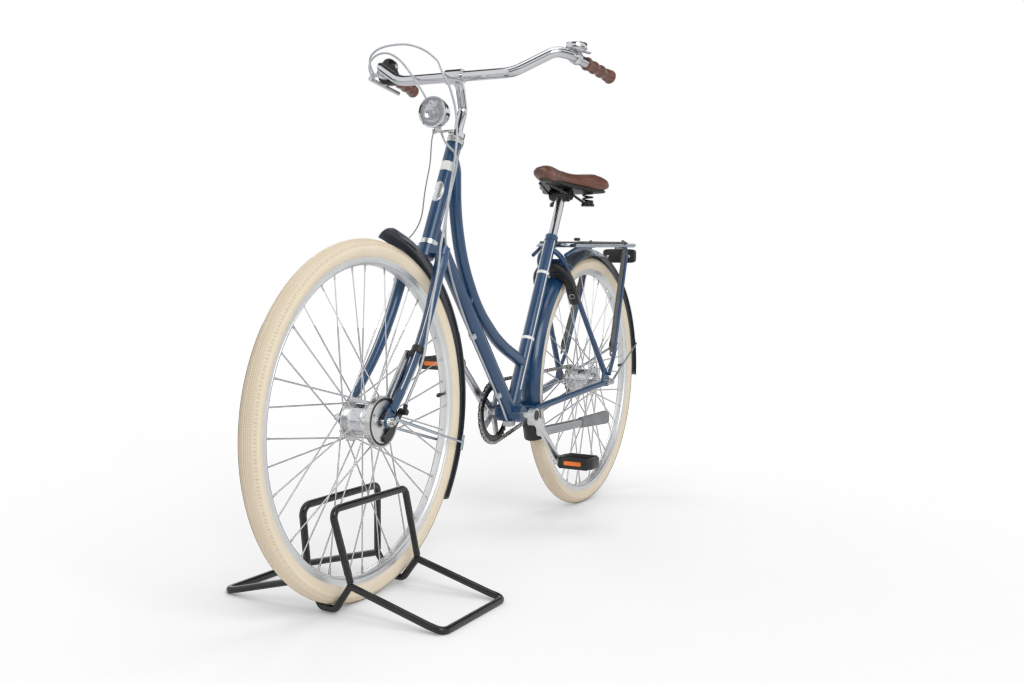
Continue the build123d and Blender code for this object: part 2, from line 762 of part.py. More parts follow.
saddle_nose = post_high.Y - 0.56 * saddle_length
saddle_stations = [
    (0.0, 0.06, 50, 60),
    (0.05, 0.12, 40, 67),
    (0.2, 0.15, 33, 66),
    (0.4, 0.20, 29, 56),
    (0.6, 0.31, 26, 50),
    (0.78, 0.45, 22, 55),
    (0.92, 0.50, 20, 61),
    (1.0, 0.40, 24, 58),
]
with BuildPart() as saddle:
    for along, half, low, high in saddle_stations:
        station = Plane.XZ.offset(-(saddle_nose + along * saddle_length))
        with BuildSketch(station):
            with Locations((0, post_high.Z + (low + high) / 2)):
                Ellipse(half * saddle_width, (high - low) / 2)
    loft()
    add(saddle_springs.part, mode=Mode.SUBTRACT)
    add(saddle_frame.part, mode=Mode.SUBTRACT)
save("saddle", saddle.part)

# ---------------------------------------------------------------- rack and rear lamp
rail_side = rack_width / 2 - rack_rod_radius
rack_rear = rear_axle.Y + rack_overhang
seat_tube_y = bracket.Y + (rack_height - rack_rise - bracket.Z) / tan(seat_angle)
rack_front = seat_tube_y + (seat_tube_radius + rack_rod_radius + seat_gap) / sin(seat_angle)
rack_length = rack_rear - rack_front
rack_leg_top = (rear_axle.Y + 172 - rack_front) / rack_length


def on_rack(share, side=0.0, lift=0.0):
    """A point on the rack's deck: share 0 is its front end and 1 its rear end."""
    return Vector(side, rack_front + share * rack_length, rack_height - rack_rise * (1 - share) + lift)


with BuildPart() as rack:
    deck = Plane(origin=on_rack(0.5), x_dir=(1, 0, 0), z_dir=(0, -rack_rise, rack_length))
    with BuildSketch(deck) as loop:
        RectangleRounded(2 * rail_side, hypot(rack_length, rack_rise), 30)
    ring = loop.sketch.faces()[0].outer_wire()
    with BuildSketch(Plane(origin=ring @ 0, z_dir=ring % 0)) as section:
        Circle(rack_rod_radius)
    sweep(section.sketch, path=ring)
    for share in (0.22, 0.45, 0.68):
        barrel(on_rack(share, -rail_side), on_rack(share, rail_side), rack_rod_radius - 1.5)
    barrel(on_rack(0), on_rack(1), rack_rod_radius - 1.5)
save("rack", rack.part)

rack_foot_side = rear_dropout_side + dropout_thickness / 2 + rack_rod_radius - 1
strut_side = seat_stay_side + stay_radius - 1.5 + rack_rod_radius - 1 + 0.2
with BuildPart() as rack_legs:
    for side in (-1, 1):
        rod(
            [
                on_rack(rack_leg_top - 0.075, side * rail_side, -2),
                on_rack(rack_leg_top, side * rail_side, -2),
                rear_axle + Vector(side * (rack_foot_side - 3), 38, 74),
                rear_axle + Vector(side * rack_foot_side, -5, 20),
            ],
            rack_rod_radius - 1,
            20.0,
        )
        strut_foot = stay_knee + Vector(side * strut_side, -6, 2)
        rod(
            [
                strut_foot,
                strut_foot + Vector(side * 6, 52, 19),
                on_rack(0.36, side * rail_side),
            ],
            rack_rod_radius - 1,
            90.0,
        )
    add(rack.part, mode=Mode.SUBTRACT)
    add(seat_stays.part, mode=Mode.SUBTRACT)
    add(chain_stays.part, mode=Mode.SUBTRACT)
save("rack_legs", rack_legs.part)

strap_width = 24.0
strap_thickness = 4.0
strap_top = rack_leg_top - 0.055
with BuildPart() as rack_straps:
    for side in (-1, 1):
        top = on_rack(strap_top, side * rail_side, -10)
        foot = rear_axle + Vector(side * (rack_foot_side - 3), 12, 86)
        with BuildSketch(Plane(origin=foot, x_dir=(0, 1, 0), z_dir=top - foot)) as band:
            Rectangle(strap_width, strap_thickness)
        extrude(band.sketch, amount=(top - foot).length)
        run_start = on_rack(0.1, side * rail_side, rack_rod_radius + 2.4)
        run = on_rack(strap_top, side * rail_side, rack_rod_radius + 2.4) - run_start
        with BuildSketch(Plane(origin=run_start, x_dir=(1, 0, 0), z_dir=run)) as flat_band:
            Rectangle(strap_width - 8, strap_thickness)
        extrude(flat_band.sketch, amount=run.length)
    add(rack.part, mode=Mode.SUBTRACT)
    add(rack_legs.part, mode=Mode.SUBTRACT)
save("rack_straps", rack_straps.part)

lamp_width = 104.0
lamp_height = 42.0
lamp_depth = 26.0
with BuildPart() as rear_lamp:
    lamp_top = rack_height - rack_rod_radius - 5
    with BuildSketch(Plane(origin=(0, rack_rear - 4, lamp_top - lamp_height / 2), x_dir=(1, 0, 0), z_dir=(0, 1, 0))):
        RectangleRounded(lamp_width, lamp_height, 8)
    extrude(amount=lamp_depth)
    with BuildSketch(Plane(origin=(0, rack_rear, lamp_top - 2), x_dir=(1, 0, 0), z_dir=(0, 0, 1))):
        Rectangle(30, 4)
    extrude(amount=5 + 2 + rack_rod_radius)
    add(rack.part, mode=Mode.SUBTRACT)
save("rear_lamp", rear_lamp.part)

# ---------------------------------------------------------------- rear mudguard, lock, axle
rear_guard_low = -1.5
rear_guard_front = 187.0
rear_flap_end = 201.0


def guard_stub(start):
    """A short post from a bridge to the rear mudguard's crown."""
    way = start - rear_guard_centre
    turn = degrees(atan2(way.Z, way.Y))
    barrel(about_axle(rear_guard_centre, rear_guard_radius - 1, turn), start, 4)


with BuildPart() as rear_mudguard:
    arch(rear_guard_centre, rear_guard_radius, rear_guard_low, rear_guard_front, guard_width)
    guard_stub(seat_bridge)
    guard_stub(stay_bridge)
    add(seat_stays.part, mode=Mode.SUBTRACT)
    add(chain_stays.part, mode=Mode.SUBTRACT)
save("rear_mudguard", rear_mudguard.part)

with BuildPart() as rear_mudguard_flap:
    arch(rear_guard_centre, rear_guard_radius, rear_guard_front + 0.05, rear_flap_end, guard_width - 2, 3.0)
save("rear_mudguard_flap", rear_mudguard_flap.part)

with BuildPart() as rear_mudguard_stays:
    for side in (-1, 1):
        low = rear_axle + Vector(side * (rear_dropout_side + dropout_thickness / 2 + 3), 22, -4)
        beside = side * (guard_width / 2 + wire_radius + seat_gap)
        high = about_axle(rear_guard_centre, rear_guard_radius - guard_crown - 2, 15, beside)
        rod([low, high], wire_radius)
        disc(low, low.X - side * 3, low.X + side * 3, 6)
    add(rack_legs.part, mode=Mode.SUBTRACT)
save("rear_mudguard_stays", rear_mudguard_stays.part)

lock_thickness = 20.0
lock_width = 122.0
lock_opening = 72.0
lock_length = 128.0
lock_crown = 34.0
lock_out = Vector(0, stay_run.Z, -stay_run.Y)
lock_place = stay_knee + stay_run * 80 + lock_out * (stay_radius - 1.5 + seat_gap)
with BuildPart() as ring_lock:
    lock_plane = Plane(origin=lock_place, x_dir=(1, 0, 0), z_dir=lock_out)
    with BuildSketch(lock_plane):
        RectangleRounded(lock_width, lock_length, 28)
        arch_middle = lock_length / 2 - lock_crown - lock_opening / 2
        with Locations((0, arch_middle)):
            Circle(lock_opening / 2, mode=Mode.SUBTRACT)
        with Locations((0, arch_middle - lock_length / 2)):
            Rectangle(lock_opening, lock_length, mode=Mode.SUBTRACT)
    extrude(amount=lock_thickness)
save("ring_lock", ring_lock.part)

with BuildPart() as rear_axle_bar:
    disc(rear_axle, -rear_dropout_side - 20, rear_dropout_side + 20, axle_radius)
    for side in (-1, 1):
        disc(rear_axle, side * (rear_dropout_side + 2.5), side * (rear_dropout_side + 10), 9)
        disc(rear_axle, side * (rear_dropout_side - 2.5), side * (rear_dropout_side - 12), 10)
    with BuildSketch(across(rear_axle, rear_hub_half + 1)) as arm:
        with Locations((0, 0)):
            Circle(16)
        with Locations((-120, -24)):
            Circle(7)
        make_hull()
    extrude(arm.sketch, amount=3)
    add(chain_stays.part, mode=Mode.SUBTRACT)
save("rear_axle", rear_axle_bar.part)

# ---------------------------------------------------------------- chain, cranks, pedals
pitch_large = chain_pitch / (2 * sin(pi / chainring_teeth))
pitch_small = chain_pitch / (2 * sin(pi / sprocket_teeth))
ring_thickness = 3.0
with BuildPart() as chain:
    with BuildSketch(across(Vector(0, 0, 0), -chain_line - chain_width / 2)) as outer:
        with Locations((bracket.Y, bracket.Z)):
            Circle(pitch_large + chain_half_height)
        with Locations((rear_axle.Y, rear_axle.Z)):
            Circle(pitch_small + chain_half_height)
        make_hull()
    with BuildSketch(across(Vector(0, 0, 0), -chain_line - chain_width / 2)) as inner:
        with Locations((bracket.Y, bracket.Z)):
            Circle(pitch_large - chain_half_height)
        with Locations((rear_axle.Y, rear_axle.Z)):
            Circle(pitch_small - chain_half_height)
        make_hull()
    extrude(outer.sketch, amount=chain_width)
    extrude(inner.sketch, amount=chain_width, mode=Mode.SUBTRACT)
save("chain", chain.part)

crank_root_side = 62.0
crank_tip_side = 78.0
crank_axle_radius = 8.5
ring_hole_radius = 52.0
spider_arms = 5
arm_reach = {1: crank_angle, -1: crank_angle + pi}
pedal_places = {
    side: bracket + Vector(side * crank_tip_side, crank_length * cos(turn), crank_length * sin(turn))
    for side, turn in arm_reach.items()
}
with BuildPart() as chainring:
    with BuildSketch(across(bracket, -chain_line - ring_thickness / 2)) as ring_face:
        Circle(pitch_large - chain_half_height - seat_gap)
        Circle(ring_hole_radius, mode=Mode.SUBTRACT)
    extrude(ring_face.sketch, amount=ring_thickness)
save("chainring", chainring.part)

for side, name in ((1, "left_crank"), (-1, "right_crank")):
    pedal_place = pedal_places[side]
    with BuildPart() as crank:
        arm_start = bracket + Vector(side * crank_root_side, 0, 0)
        arm_run = pedal_place - arm_start
        with BuildSketch(Plane(origin=arm_start, x_dir=(1, 0, 0), z_dir=arm_run)) as arm_root:
            Ellipse(7, 13)
        with BuildSketch(Plane(origin=pedal_place, x_dir=(1, 0, 0), z_dir=arm_run)) as arm_tip:
            Ellipse(5.5, 10)
        loft([arm_root.sketch, arm_tip.sketch])
        disc(bracket, side * (crank_root_side - 8), side * (crank_root_side + 9), 17)
        disc(pedal_place, side * (crank_tip_side - 6.5), side * (crank_tip_side + 7), 12)
        disc(pedal_place, side * (crank_tip_side + 7), side * (crank_tip_side + 60), 4.5)
        if side > 0:
            disc(bracket, -crank_root_side + 8, crank_root_side - 8, crank_axle_radius)
        else:
            spider_side = -chain_line - ring_thickness / 2
            disc(bracket, spider_side - 4, -crank_root_side + 8, 24)
            with BuildSketch(across(bracket, spider_side - 4)) as spider:
                with PolarLocations(0, spider_arms):
                    with Locations((ring_hole_radius / 2 + 4, 0)):
                        SlotOverall(ring_hole_radius + 10, 16)
            extrude(spider.sketch, amount=4)
            disc(bracket, -crank_root_side + 8, spider_side - 4, crank_axle_radius + running_gap, Mode.SUBTRACT)
            disc(bracket, -crank_root_side + 8, spider_side, crank_axle_radius + running_gap, Mode.SUBTRACT)
    save(name, crank.part)

pedal_start = 7.5
for side, name in ((1, "left_pedal"), (-1, "right_pedal")):
    place = pedal_places[side]
    start = side * (crank_tip_side + pedal_start)
    with BuildPart() as pedal:
        disc(place, start, start + side * pedal_length, 9)
        for along in (0, pedal_length - 8):
            with BuildSketch(across(place, start + side * along)) as cage:
                RectangleRounded(pedal_width, pedal_height, 5)
            extrude(cage.sketch, amount=side * 8)
        for edge in (-1, 1):
            with BuildSketch(across(place + Vector(0, edge * (pedal_width / 2 - 7), 0), start)) as tread:
                RectangleRounded(14, pedal_height, 3)
            extrude(tread.sketch, amount=side * pedal_length)
        disc(place, start, start + side * 54, 4.5 + running_gap, Mode.SUBTRACT)
    save(name, pedal.part)

# ---------------------------------------------------------------- kickstand
kick_pivot = bracket + Vector(43, 80, -26)
kick_drop = 26.0             # the folded leg's line below the hinge
kick_way = Vector(0.14, 0.985, 0.02).normalized()
kick_start = kick_pivot + Vector(0, 6, -kick_drop)
foot_share = 0.58
foot_depth = 35.0
foot_thickness = 22.0


def kick_face(share):
    """A sketch plane across the folded leg, with its own x along X."""
    return Plane(origin=kick_start + kick_way * (kick_length * share), x_dir=(1, 0, 0), z_dir=kick_way)


with BuildPart() as kickstand_bracket:
    with BuildSketch(Plane.XY.offset(kick_pivot.Z + 16)) as plate:
        with Locations((8, kick_pivot.Y - 20)):
            RectangleRounded(66, 36, 4)
    extrude(plate.sketch, amount=7.5)
    disc(kick_pivot, kick_pivot.X - 30, kick_pivot.X - 10.5, 12)
    with BuildSketch(Plane.XY.offset(kick_pivot.Z)) as web:
        with Locations((kick_pivot.X - 20, kick_pivot.Y - 8)):
            Rectangle(18, 20)
    extrude(web.sketch, amount=17)
    disc(kick_pivot, kick_pivot.X - 12, kick_pivot.X + 9, 5)
    add(chain_stays.part, mode=Mode.SUBTRACT)
save("kickstand_bracket", kickstand_bracket.part)

with BuildPart() as kickstand:
    disc(kick_pivot, kick_pivot.X - 10, kick_pivot.X + 8, 13)
    with BuildSketch(across(kick_pivot, kick_pivot.X - 7)) as knuckle:
        Circle(13)
        with Locations((6, -kick_drop)):
            Circle(kick_depth / 2)
        make_hull()
    extrude(knuckle.sketch, amount=kick_thickness)
    with BuildSketch(kick_face(0)) as leg_root:
        RectangleRounded(kick_thickness, kick_depth, 4)
    with BuildSketch(kick_face(foot_share + 0.02)) as leg_end:
        RectangleRounded(kick_thickness - 1, kick_depth - 3, 4)
    loft([leg_root.sketch, leg_end.sketch])
    with BuildSketch(kick_face(foot_share)) as foot_root:
        RectangleRounded(foot_thickness - 4, foot_depth - 9, 5)
    with BuildSketch(kick_face(1)) as foot_end:
        RectangleRounded(foot_thickness, foot_depth, 7)
    loft([foot_root.sketch, foot_end.sketch])
    disc(kick_pivot, kick_pivot.X - 14, kick_pivot.X + 14, 5 + running_gap, Mode.SUBTRACT)
save("kickstand", kickstand.part)

# ---------------------------------------------------------------- cables
cable_radius = 2.5
wire_way_radius = 1.5
with BuildPart() as brake_cable:
    brake_bend = cable(
        [
            (-262, -163, 1100), (-267, -174, 1119), (-262, -181, 1138), (-246, -182, 1151),
            (-227, -178, 1159), (-208, -171, 1163), (-180, -163, 1165), (-150, -163, 1158),
            (-120, -170, 1145), (-90, -184, 1127), (-60, -208, 1106), (-35, -243, 1087),
            (-14, -263, 1066), (2, -266, 1043), (11, -263, 1015), (18, -262, 988),
            (22, -263, 956), (24, -265, 924), (25, -273, 891), (25, -282, 852),
            (25, -294, 815), (28, -310, 772), (36, -334, 730), (44, -361, 690),
            (50, -373, 660), (53, -390, 623), (55, -405, 587), (58.5, -419, 554),
            (62, -435, 521), (64, -445, 487), (63, -457, 453), (59, -477, 417),
            (57.5, -491, 397), cable_end,
        ],
        cable_radius,
    )
    add(brake_lever.part, mode=Mode.SUBTRACT)
    add(hub_fittings.part, mode=Mode.SUBTRACT)
save("brake_cable", brake_cable.part)

under_tube = down_tube_radius + cable_radius + 1
under_stay = Vector(0, 0, -stay_radius - cable_radius - 0.4)
stay_start = bracket + Vector(-chain_stay_side, 104, 10)
stay_way = rear_axle + Vector(-rear_dropout_side, -34, -4) - stay_start
stay_line = [stay_start + under_stay + stay_way * share for share in (0.15, 0.32, 0.48, 0.64, 0.8)]
with BuildPart() as gear_cable:
    gear_bend = cable(
        [
            (-246, -126, 1083), (-247, -147, 1076), (-251, -168, 1081), (-256, -186, 1096),
            (-256, -194, 1115), (-246, -194, 1132), (-228, -190, 1142), (-208, -187, 1142),
            (-188, -190, 1133), (-158, -207, 1115), (-124, -237, 1092), (-83, -264, 1057),
            (-58, -268, 1024), (-36, -266, 988), (-20, -265, 957), (-9, -270, 930),
            (6, -274, 912), (20, -265, 898), (24, -261, 878), (22, -268, 850),
            (20.5, -280, 817), (20, -289, 790), (20.5, -297, 763), (21, -302, 735),
            (21, -300, 706), (18, -288, 678), (13, -269, 648), (8, -240, 611),
            on_down_tube(260, under_tube, 3), on_down_tube(315, under_tube + 0.6, 1),
            on_down_tube(370, under_tube, 0), on_down_tube(425, under_tube + 0.6, 0),
            on_down_tube(480, under_tube, 0), on_down_tube(530, under_tube + 2, 0),
            bracket + Vector(0, -17, -21), bracket + Vector(-4, 4, -25), bracket + Vector(-19, 24, -20),
            bracket + Vector(-31, 45, -12), bracket + Vector(-chain_stay_side, 72, -6),
            bracket + Vector(-chain_stay_side, 105, -2.2),
            *(point + Vector(0, 0, -0.5 * (turn % 2)) for turn, point in enumerate(stay_line)),
            rear_axle + Vector(-77, -47, -19), rear_axle + Vector(-79, -22, -9), rear_axle + Vector(-77, -5, -1),
        ],
        cable_radius,
    )
    add(gear_shifter.part, mode=Mode.SUBTRACT)
    add(rear_axle_bar.part, mode=Mode.SUBTRACT)
save("gear_cable", gear_cable.part)

with BuildPart() as lamp_wire:
    lamp_bend = cable(
        [
            (0, -314, 948), (-1, -325, 930), (-2, -328, 902), (-3, -328, 872),
            (-6, -332, 844), (-9, -337, 815), (-12, -338, 788), (-17, -334, 762),
            (-26, -334, 738), (-36, -343, 717), (-48, -353, 702), (-58, -361, 683),
            on_steering(-60, 0, -58), on_steering(-105, 1, -58.5), on_steering(-150, 0, -59),
            on_steering(-195, -2, -59.5), on_steering(-238, -8, -60), (-61.5, -471, 447),
            (-63, -496, 420), (-61, -503, 402), (-51, -508, 390), (-42, -521, 386),
            (-41, -539, 383), (-41, -551, 372),
        ],
        wire_way_radius,
    )
    add(headlamp.part, mode=Mode.SUBTRACT)
    add(hub_fittings.part, mode=Mode.SUBTRACT)
save("lamp_wire", lamp_wire.part)

clip_places = (298.0, 495.0)
with BuildPart() as cable_clips:
    for place in clip_places:
        barrel(on_down_tube(place - 6, down_tube_radius), on_down_tube(place + 6, down_tube_radius), 8)
    with BuildSketch(across(bracket, -9)) as guide:
        with Locations((-8, -24)):
            RectangleRounded(30, 12, 3)
    extrude(guide.sketch, amount=18)
    add(gear_cable.part, mode=Mode.SUBTRACT)
    add(down_tube.part, mode=Mode.SUBTRACT)
    add(bottom_bracket.part, mode=Mode.SUBTRACT)
save("cable_clips", cable_clips.part)

print("tightest bends: brake", brake_bend, "gear", gear_bend, "lamp", lamp_bend)
print("pedals", pedal_places)
print("places", front_axle, rear_axle, bracket, head_low, head_high, steer_up)
print("kickstand", kick_pivot)
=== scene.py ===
# %% [markdown]
# # A city bicycle in a wheel stand
# The frame, fork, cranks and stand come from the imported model, which also says what turns on what.
# This script gives those pieces their finishes, and works out the pieces whose surface is finer
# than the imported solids: tyres, rims, chain, saddle, lamp, grips, springs, cables and small parts.
# Every length is in metres. The bicycle points along -Y, its left side is +X and +Z is up.

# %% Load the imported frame
import bmesh
import bpy
import numpy as np
from mathutils import Matrix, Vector
from math import atan2, cos, pi, radians, sin, tan


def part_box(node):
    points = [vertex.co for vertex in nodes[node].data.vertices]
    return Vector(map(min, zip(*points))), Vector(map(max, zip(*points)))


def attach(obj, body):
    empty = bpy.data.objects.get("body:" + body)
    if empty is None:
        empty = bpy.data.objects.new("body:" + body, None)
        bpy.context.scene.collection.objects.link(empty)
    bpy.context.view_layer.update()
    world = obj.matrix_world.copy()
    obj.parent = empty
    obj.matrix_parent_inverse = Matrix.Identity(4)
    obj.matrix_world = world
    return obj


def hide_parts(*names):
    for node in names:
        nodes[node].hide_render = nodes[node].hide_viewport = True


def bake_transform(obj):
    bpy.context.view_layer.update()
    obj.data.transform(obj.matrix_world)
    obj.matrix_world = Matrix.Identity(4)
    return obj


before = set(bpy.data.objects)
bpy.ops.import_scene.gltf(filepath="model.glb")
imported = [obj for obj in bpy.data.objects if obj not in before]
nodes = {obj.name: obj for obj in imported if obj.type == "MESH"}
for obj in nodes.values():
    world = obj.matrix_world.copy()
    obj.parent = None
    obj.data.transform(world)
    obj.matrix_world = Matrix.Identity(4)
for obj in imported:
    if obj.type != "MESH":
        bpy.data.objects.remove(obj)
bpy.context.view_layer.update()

MM = 0.001
SIDES = ((-1, "right"), (1, "left"))

# %% [markdown]
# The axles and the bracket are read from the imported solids. The other places follow from them by
# the frame's angles and lengths: the steering axis leans back by the head angle, and everything
# on the handlebar turns about it.

# %% Places
def mm(*rows):
    """Rows of millimetres as an array of metres."""
    return np.array(rows, float) * MM


def middle(node):
    """The middle of a node's box: half of its lowest plus half of its highest corner."""
    low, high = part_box(node)
    return (np.array(low) + np.array(high)) / 2


front_axle = middle("front_tyre")
rear_axle = middle("rear_tyre")
WHEELS = (("front", front_axle), ("rear", rear_axle))
bracket = middle("bottom_bracket")
head_angle = radians(65.5)
seat_angle = radians(64.0)
steer_up = np.array([0, cos(head_angle), sin(head_angle)])
steer_back = np.array([0, sin(head_angle), -cos(head_angle)])
seat_up = np.array([0, cos(seat_angle), sin(seat_angle)])
seat_back = np.array([0, sin(seat_angle), -cos(seat_angle)])
left_way = np.array([1.0, 0, 0])
FORK_OFFSET, FORK_LENGTH, HEAD_LENGTH = mm(58, 415, 235)
head_low = front_axle + steer_back * FORK_OFFSET + steer_up * FORK_LENGTH
head_high = head_low + steer_up * HEAD_LENGTH
print("front axle", front_axle, "rear axle", rear_axle, "bracket", bracket)

# %% [markdown]
# ## Meshes from arrays
# A lathe, a mudguard roller and a tube bender all do the same thing: they carry a profile along
# a way. With numpy the whole surface is one array of points, rows along the way and columns round
# the profile, so no vertex is ever placed by hand. A few small formulas shape all the profiles.

# %% Small formulas
def even_turns(count):
    """Angles evenly round a circle, the first at 0."""
    return np.linspace(0, 2 * pi, count, endpoint=False)


def polar(radius, turns):
    """Rows of (radius * cos, radius * sin)."""
    return np.stack([radius * np.cos(turns), radius * np.sin(turns)], -1)


def hump(x, centre, width):
    """A smooth hump of height 1: exp(-((x - centre) / width)^2)."""
    return np.exp(-(((x - centre) / width) ** 2))


def fall(x, at, steepness):
    """1 below at and 0 above it: 1 / (1 + exp((x - at) * steepness))."""
    return 1 / (1 + np.exp((x - at) * steepness))


def signed_power(x, power):
    """x raised to a power with its sign kept, which squares a circle up when x is a cos or sin."""
    return np.sign(x) * np.abs(x) ** power


print("a hump at its centre:", hump(0.0, 0, 1), "a fall at its step:", fall(0.0, 0, 1))

# %% [markdown]
# The faces of a grid follow from its rows and columns alone, so one formula serves every surface.

# %% Faces of a grid
def grid_faces(rows, columns, ring=True, loop=False):
    """Quads of a rows x columns grid; ring joins its columns round, loop joins its rows."""
    row = np.arange(rows if loop else rows - 1)[:, None]
    column = np.arange(columns if ring else columns - 1)[None, :]
    next_row = (row + 1) % rows
    next_column = (column + 1) % columns
    corners = [
        row * columns + column,
        row * columns + next_column,
        next_row * columns + next_column,
        next_row * columns + column,
    ]
    return np.stack(np.broadcast_arrays(*corners), -1).reshape(-1, 4).tolist()


print("grid of 3 x 4 has", len(grid_faces(3, 4)), "faces")

# %% [markdown]
# A piece is a mesh with one finish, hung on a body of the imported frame. Its faces are turned
# outwards once, and edges that turn more than the given angle stay crisp, as a pressed part's do.

# %% Pieces from points
def tube_faces(rows, columns):
    """A tube's side faces, and one flat face over each end."""
    first, last = list(range(columns)), list(range((rows - 1) * columns, rows * columns))
    return grid_faces(rows, columns) + [first, last]


def add_piece(name, points, faces, body, finish, sharp=35.0, turn_out=True):
    """Puts points and faces into a mesh, turns its faces outwards and hangs it on a body."""
    mesh = bpy.data.meshes.new(name)
    mesh.from_pydata(np.asarray(points).reshape(-1, 3).tolist(), [], faces)
    if turn_out:
        shell = bmesh.new()
        shell.from_mesh(mesh)
        bmesh.ops.recalc_face_normals(shell, faces=shell.faces[:])
        shell.to_mesh(mesh)
        shell.free()
    mesh.polygons.foreach_set("use_smooth", np.ones(len(mesh.polygons), bool))
    mesh.set_sharp_from_angle(angle=radians(sharp))
    mesh.materials.append(finish)
    made = bpy.data.objects.new(name, mesh)
    bpy.context.scene.collection.objects.link(made)
    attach(made, body)
    return made


def add_tube(name, points, body, finish, sharp=35.0):
    """A piece from a grid of points whose columns close round, with flat ends."""
    return add_piece(name, points, tube_faces(*points.shape[:2]), body, finish, sharp)


def add_bevel(made, width):
    """Rounds a piece's edges that turn by more than 40 degrees."""
    bevel = made.modifiers.new("rounded edges", "BEVEL")
    bevel.width = width
    bevel.segments = 2
    bevel.limit_method = "ANGLE"
    bevel.angle_limit = radians(40)
    bevel.harden_normals = True
    return made


print("tube of 3 x 4 has", len(tube_faces(3, 4)), "faces")

# %% [markdown]
# A turned part is a profile of (distance along the axis, radius) spun about that axis, as on a
# lathe: bolts, lamp shells, bells, collars and rims are all made that way.

# %% Turned shapes
def unit(vectors):
    """Each vector divided by its own length."""
    vectors = np.asarray(vectors, float)
    return vectors / np.linalg.norm(vectors, axis=-1, keepdims=True)


def square_pair(axis):
    """Two directions square to an axis and to each other."""
    axis = unit(axis)
    helper = np.array([0.0, 0.0, 1.0]) if abs(axis[2]) < 0.9 else np.array([1.0, 0.0, 0.0])
    first = unit(np.cross(axis, helper))
    return first, np.cross(axis, first)


def turned(profile, origin, axis, count=48):
    """Rows are turns: origin + axis * along + (first * cos + second * sin) * radius."""
    profile = np.asarray(profile, float)
    first, second = square_pair(axis)
    turns = even_turns(count)
    spoke = np.cos(turns)[:, None, None] * first + np.sin(turns)[:, None, None] * second
    along = np.asarray(origin) + profile[None, :, 0, None] * unit(axis)
    return along + profile[None, :, 1, None] * spoke


def turned_faces(count, width, closed=False):
    """A turned shape's faces; an open profile gets one flat face over each end."""
    faces = grid_faces(count, width, ring=closed, loop=True)
    if not closed:
        for column in (0, width - 1):
            faces.append([row * width + column for row in range(count)])
    return faces


def add_turned(name, profile, origin, axis, body, finish, count=48, closed=False, sharp=35.0):
    """A turned piece; an open profile starts and ends on the axis or is capped flat."""
    points = turned(profile, origin, axis, count)
    faces = turned_faces(count, len(profile), closed)
    return add_piece(name, points, faces, body, finish, sharp)


print("a turned ring has shape", turned([(0, 0.1), (0.01, 0.1)], (0, 0, 0), (1, 0, 0)).shape)

# %% [markdown]
# A bent part is a section carried along a path, like bar through a tube bender. At each point two
# directions square to the path hold the section, worked out from one fixed direction so that the
# section never twists.

# %% Bent shapes
def bent(path, section, reference):
    """Rows follow the path: point + side * x + over * y, with over nearest to the reference."""
    path = np.asarray(path, float)
    section = np.asarray(section, float)
    if section.ndim == 2:
        section = np.broadcast_to(section, (len(path),) + section.shape)
    way = unit(np.gradient(path, axis=0))
    reference = np.broadcast_to(np.asarray(reference, float), path.shape)
    over = unit(reference - (reference * way).sum(-1, keepdims=True) * way)
    side = np.cross(over, way)
    return path[:, None] + section[..., :1] * side[:, None] + section[..., 1:] * over[:, None]


def add_bent(name, path, section, reference, body, finish, sharp=35.0):
    """A bent piece with flat ends."""
    return add_tube(name, bent(path, section, reference), body, finish, sharp)


print("a bent bar has shape", bent([(0, 0, 0), (0, 0, 1)], [(0, 1), (1, 0)], (1, 0, 0)).shape)

# %% [markdown]
# Sections are circles or rounded rectangles, and a path of a few chosen points is smoothed into a
# curve, since a real rod or strap bends evenly between its supports.

# %% Sections and paths
def circle(radius, count=16):
    """A circle as (x, y) pairs."""
    return polar(radius, even_turns(count))


def rounded(width, height, power=4.0, count=32):
    """A rounded rectangle: each coordinate is cos or sin raised to 2 / power, with its sign."""
    turns = even_turns(count)
    x = signed_power(np.cos(turns), 2 / power) * width / 2
    y = signed_power(np.sin(turns), 2 / power) * height / 2
    return np.stack([x, y], -1)


def smooth_path(points, per_run=8):
    """A curve through the points: a cubic on each run, its slopes taken from the neighbours."""
    points = np.asarray(points, float)
    slopes = np.gradient(points, axis=0)
    t = np.linspace(0, 1, per_run, endpoint=False)[None, :, None]
    start, end = points[:-1, None], points[1:, None]
    slope_in, slope_out = slopes[:-1, None], slopes[1:, None]
    curve = (
        (2 * t**3 - 3 * t**2 + 1) * start
        + (t**3 - 2 * t**2 + t) * slope_in
        + (3 * t**2 - 2 * t**3) * end
        + (t**3 - t**2) * slope_out
    )
    return np.concatenate([curve.reshape(-1, points.shape[-1]), points[-1:]])


print("a smoothed path of 3 points has", len(smooth_path([(0, 0), (1, 1), (2, 0)])), "points")

# %% [markdown]
# Flat parts are stamped from sheet, so they are an outline made thick. Parts that repeat, such as
# links and nipples, are one small shape copied to many places in a single array product.

# %% Plates and copies
def plate(outline, origin, across, upward, thickness):
    """A flat outline of (x, y) pairs made thick: the same loop twice, joined and capped."""
    outline = np.asarray(outline, float)
    face = np.asarray(origin) + outline @ np.array([across, upward], float)
    through = np.cross(across, upward) * thickness
    return np.stack([face, face + through]), tube_faces(2, len(outline))


def add_plate(name, outline, origin, across, upward, thickness, body, finish, bevel=0.0004):
    """A thick plate with softened edges."""
    points, faces = plate(outline, origin, across, upward, thickness)
    return add_bevel(add_piece(name, points, faces, body, finish), bevel)


def copies(points, faces, origins, frames):
    """One shape at many places: a point is its copy's origin + its coordinates along the frame."""
    points = np.asarray(points, float).reshape(-1, 3)
    origins = np.asarray(origins, float)
    placed = origins[:, None] + np.einsum("pi,kij->kpj", points, np.asarray(frames, float))
    step = len(points)
    all_faces = [
        [corner + k * step for corner in face] for k in range(len(origins)) for face in faces
    ]
    return placed, all_faces


square_faces = plate(circle(1, 4), (0, 0, 0), (1, 0, 0), (0, 1, 0), 1)[1]
print("a square plate has", len(square_faces), "faces")

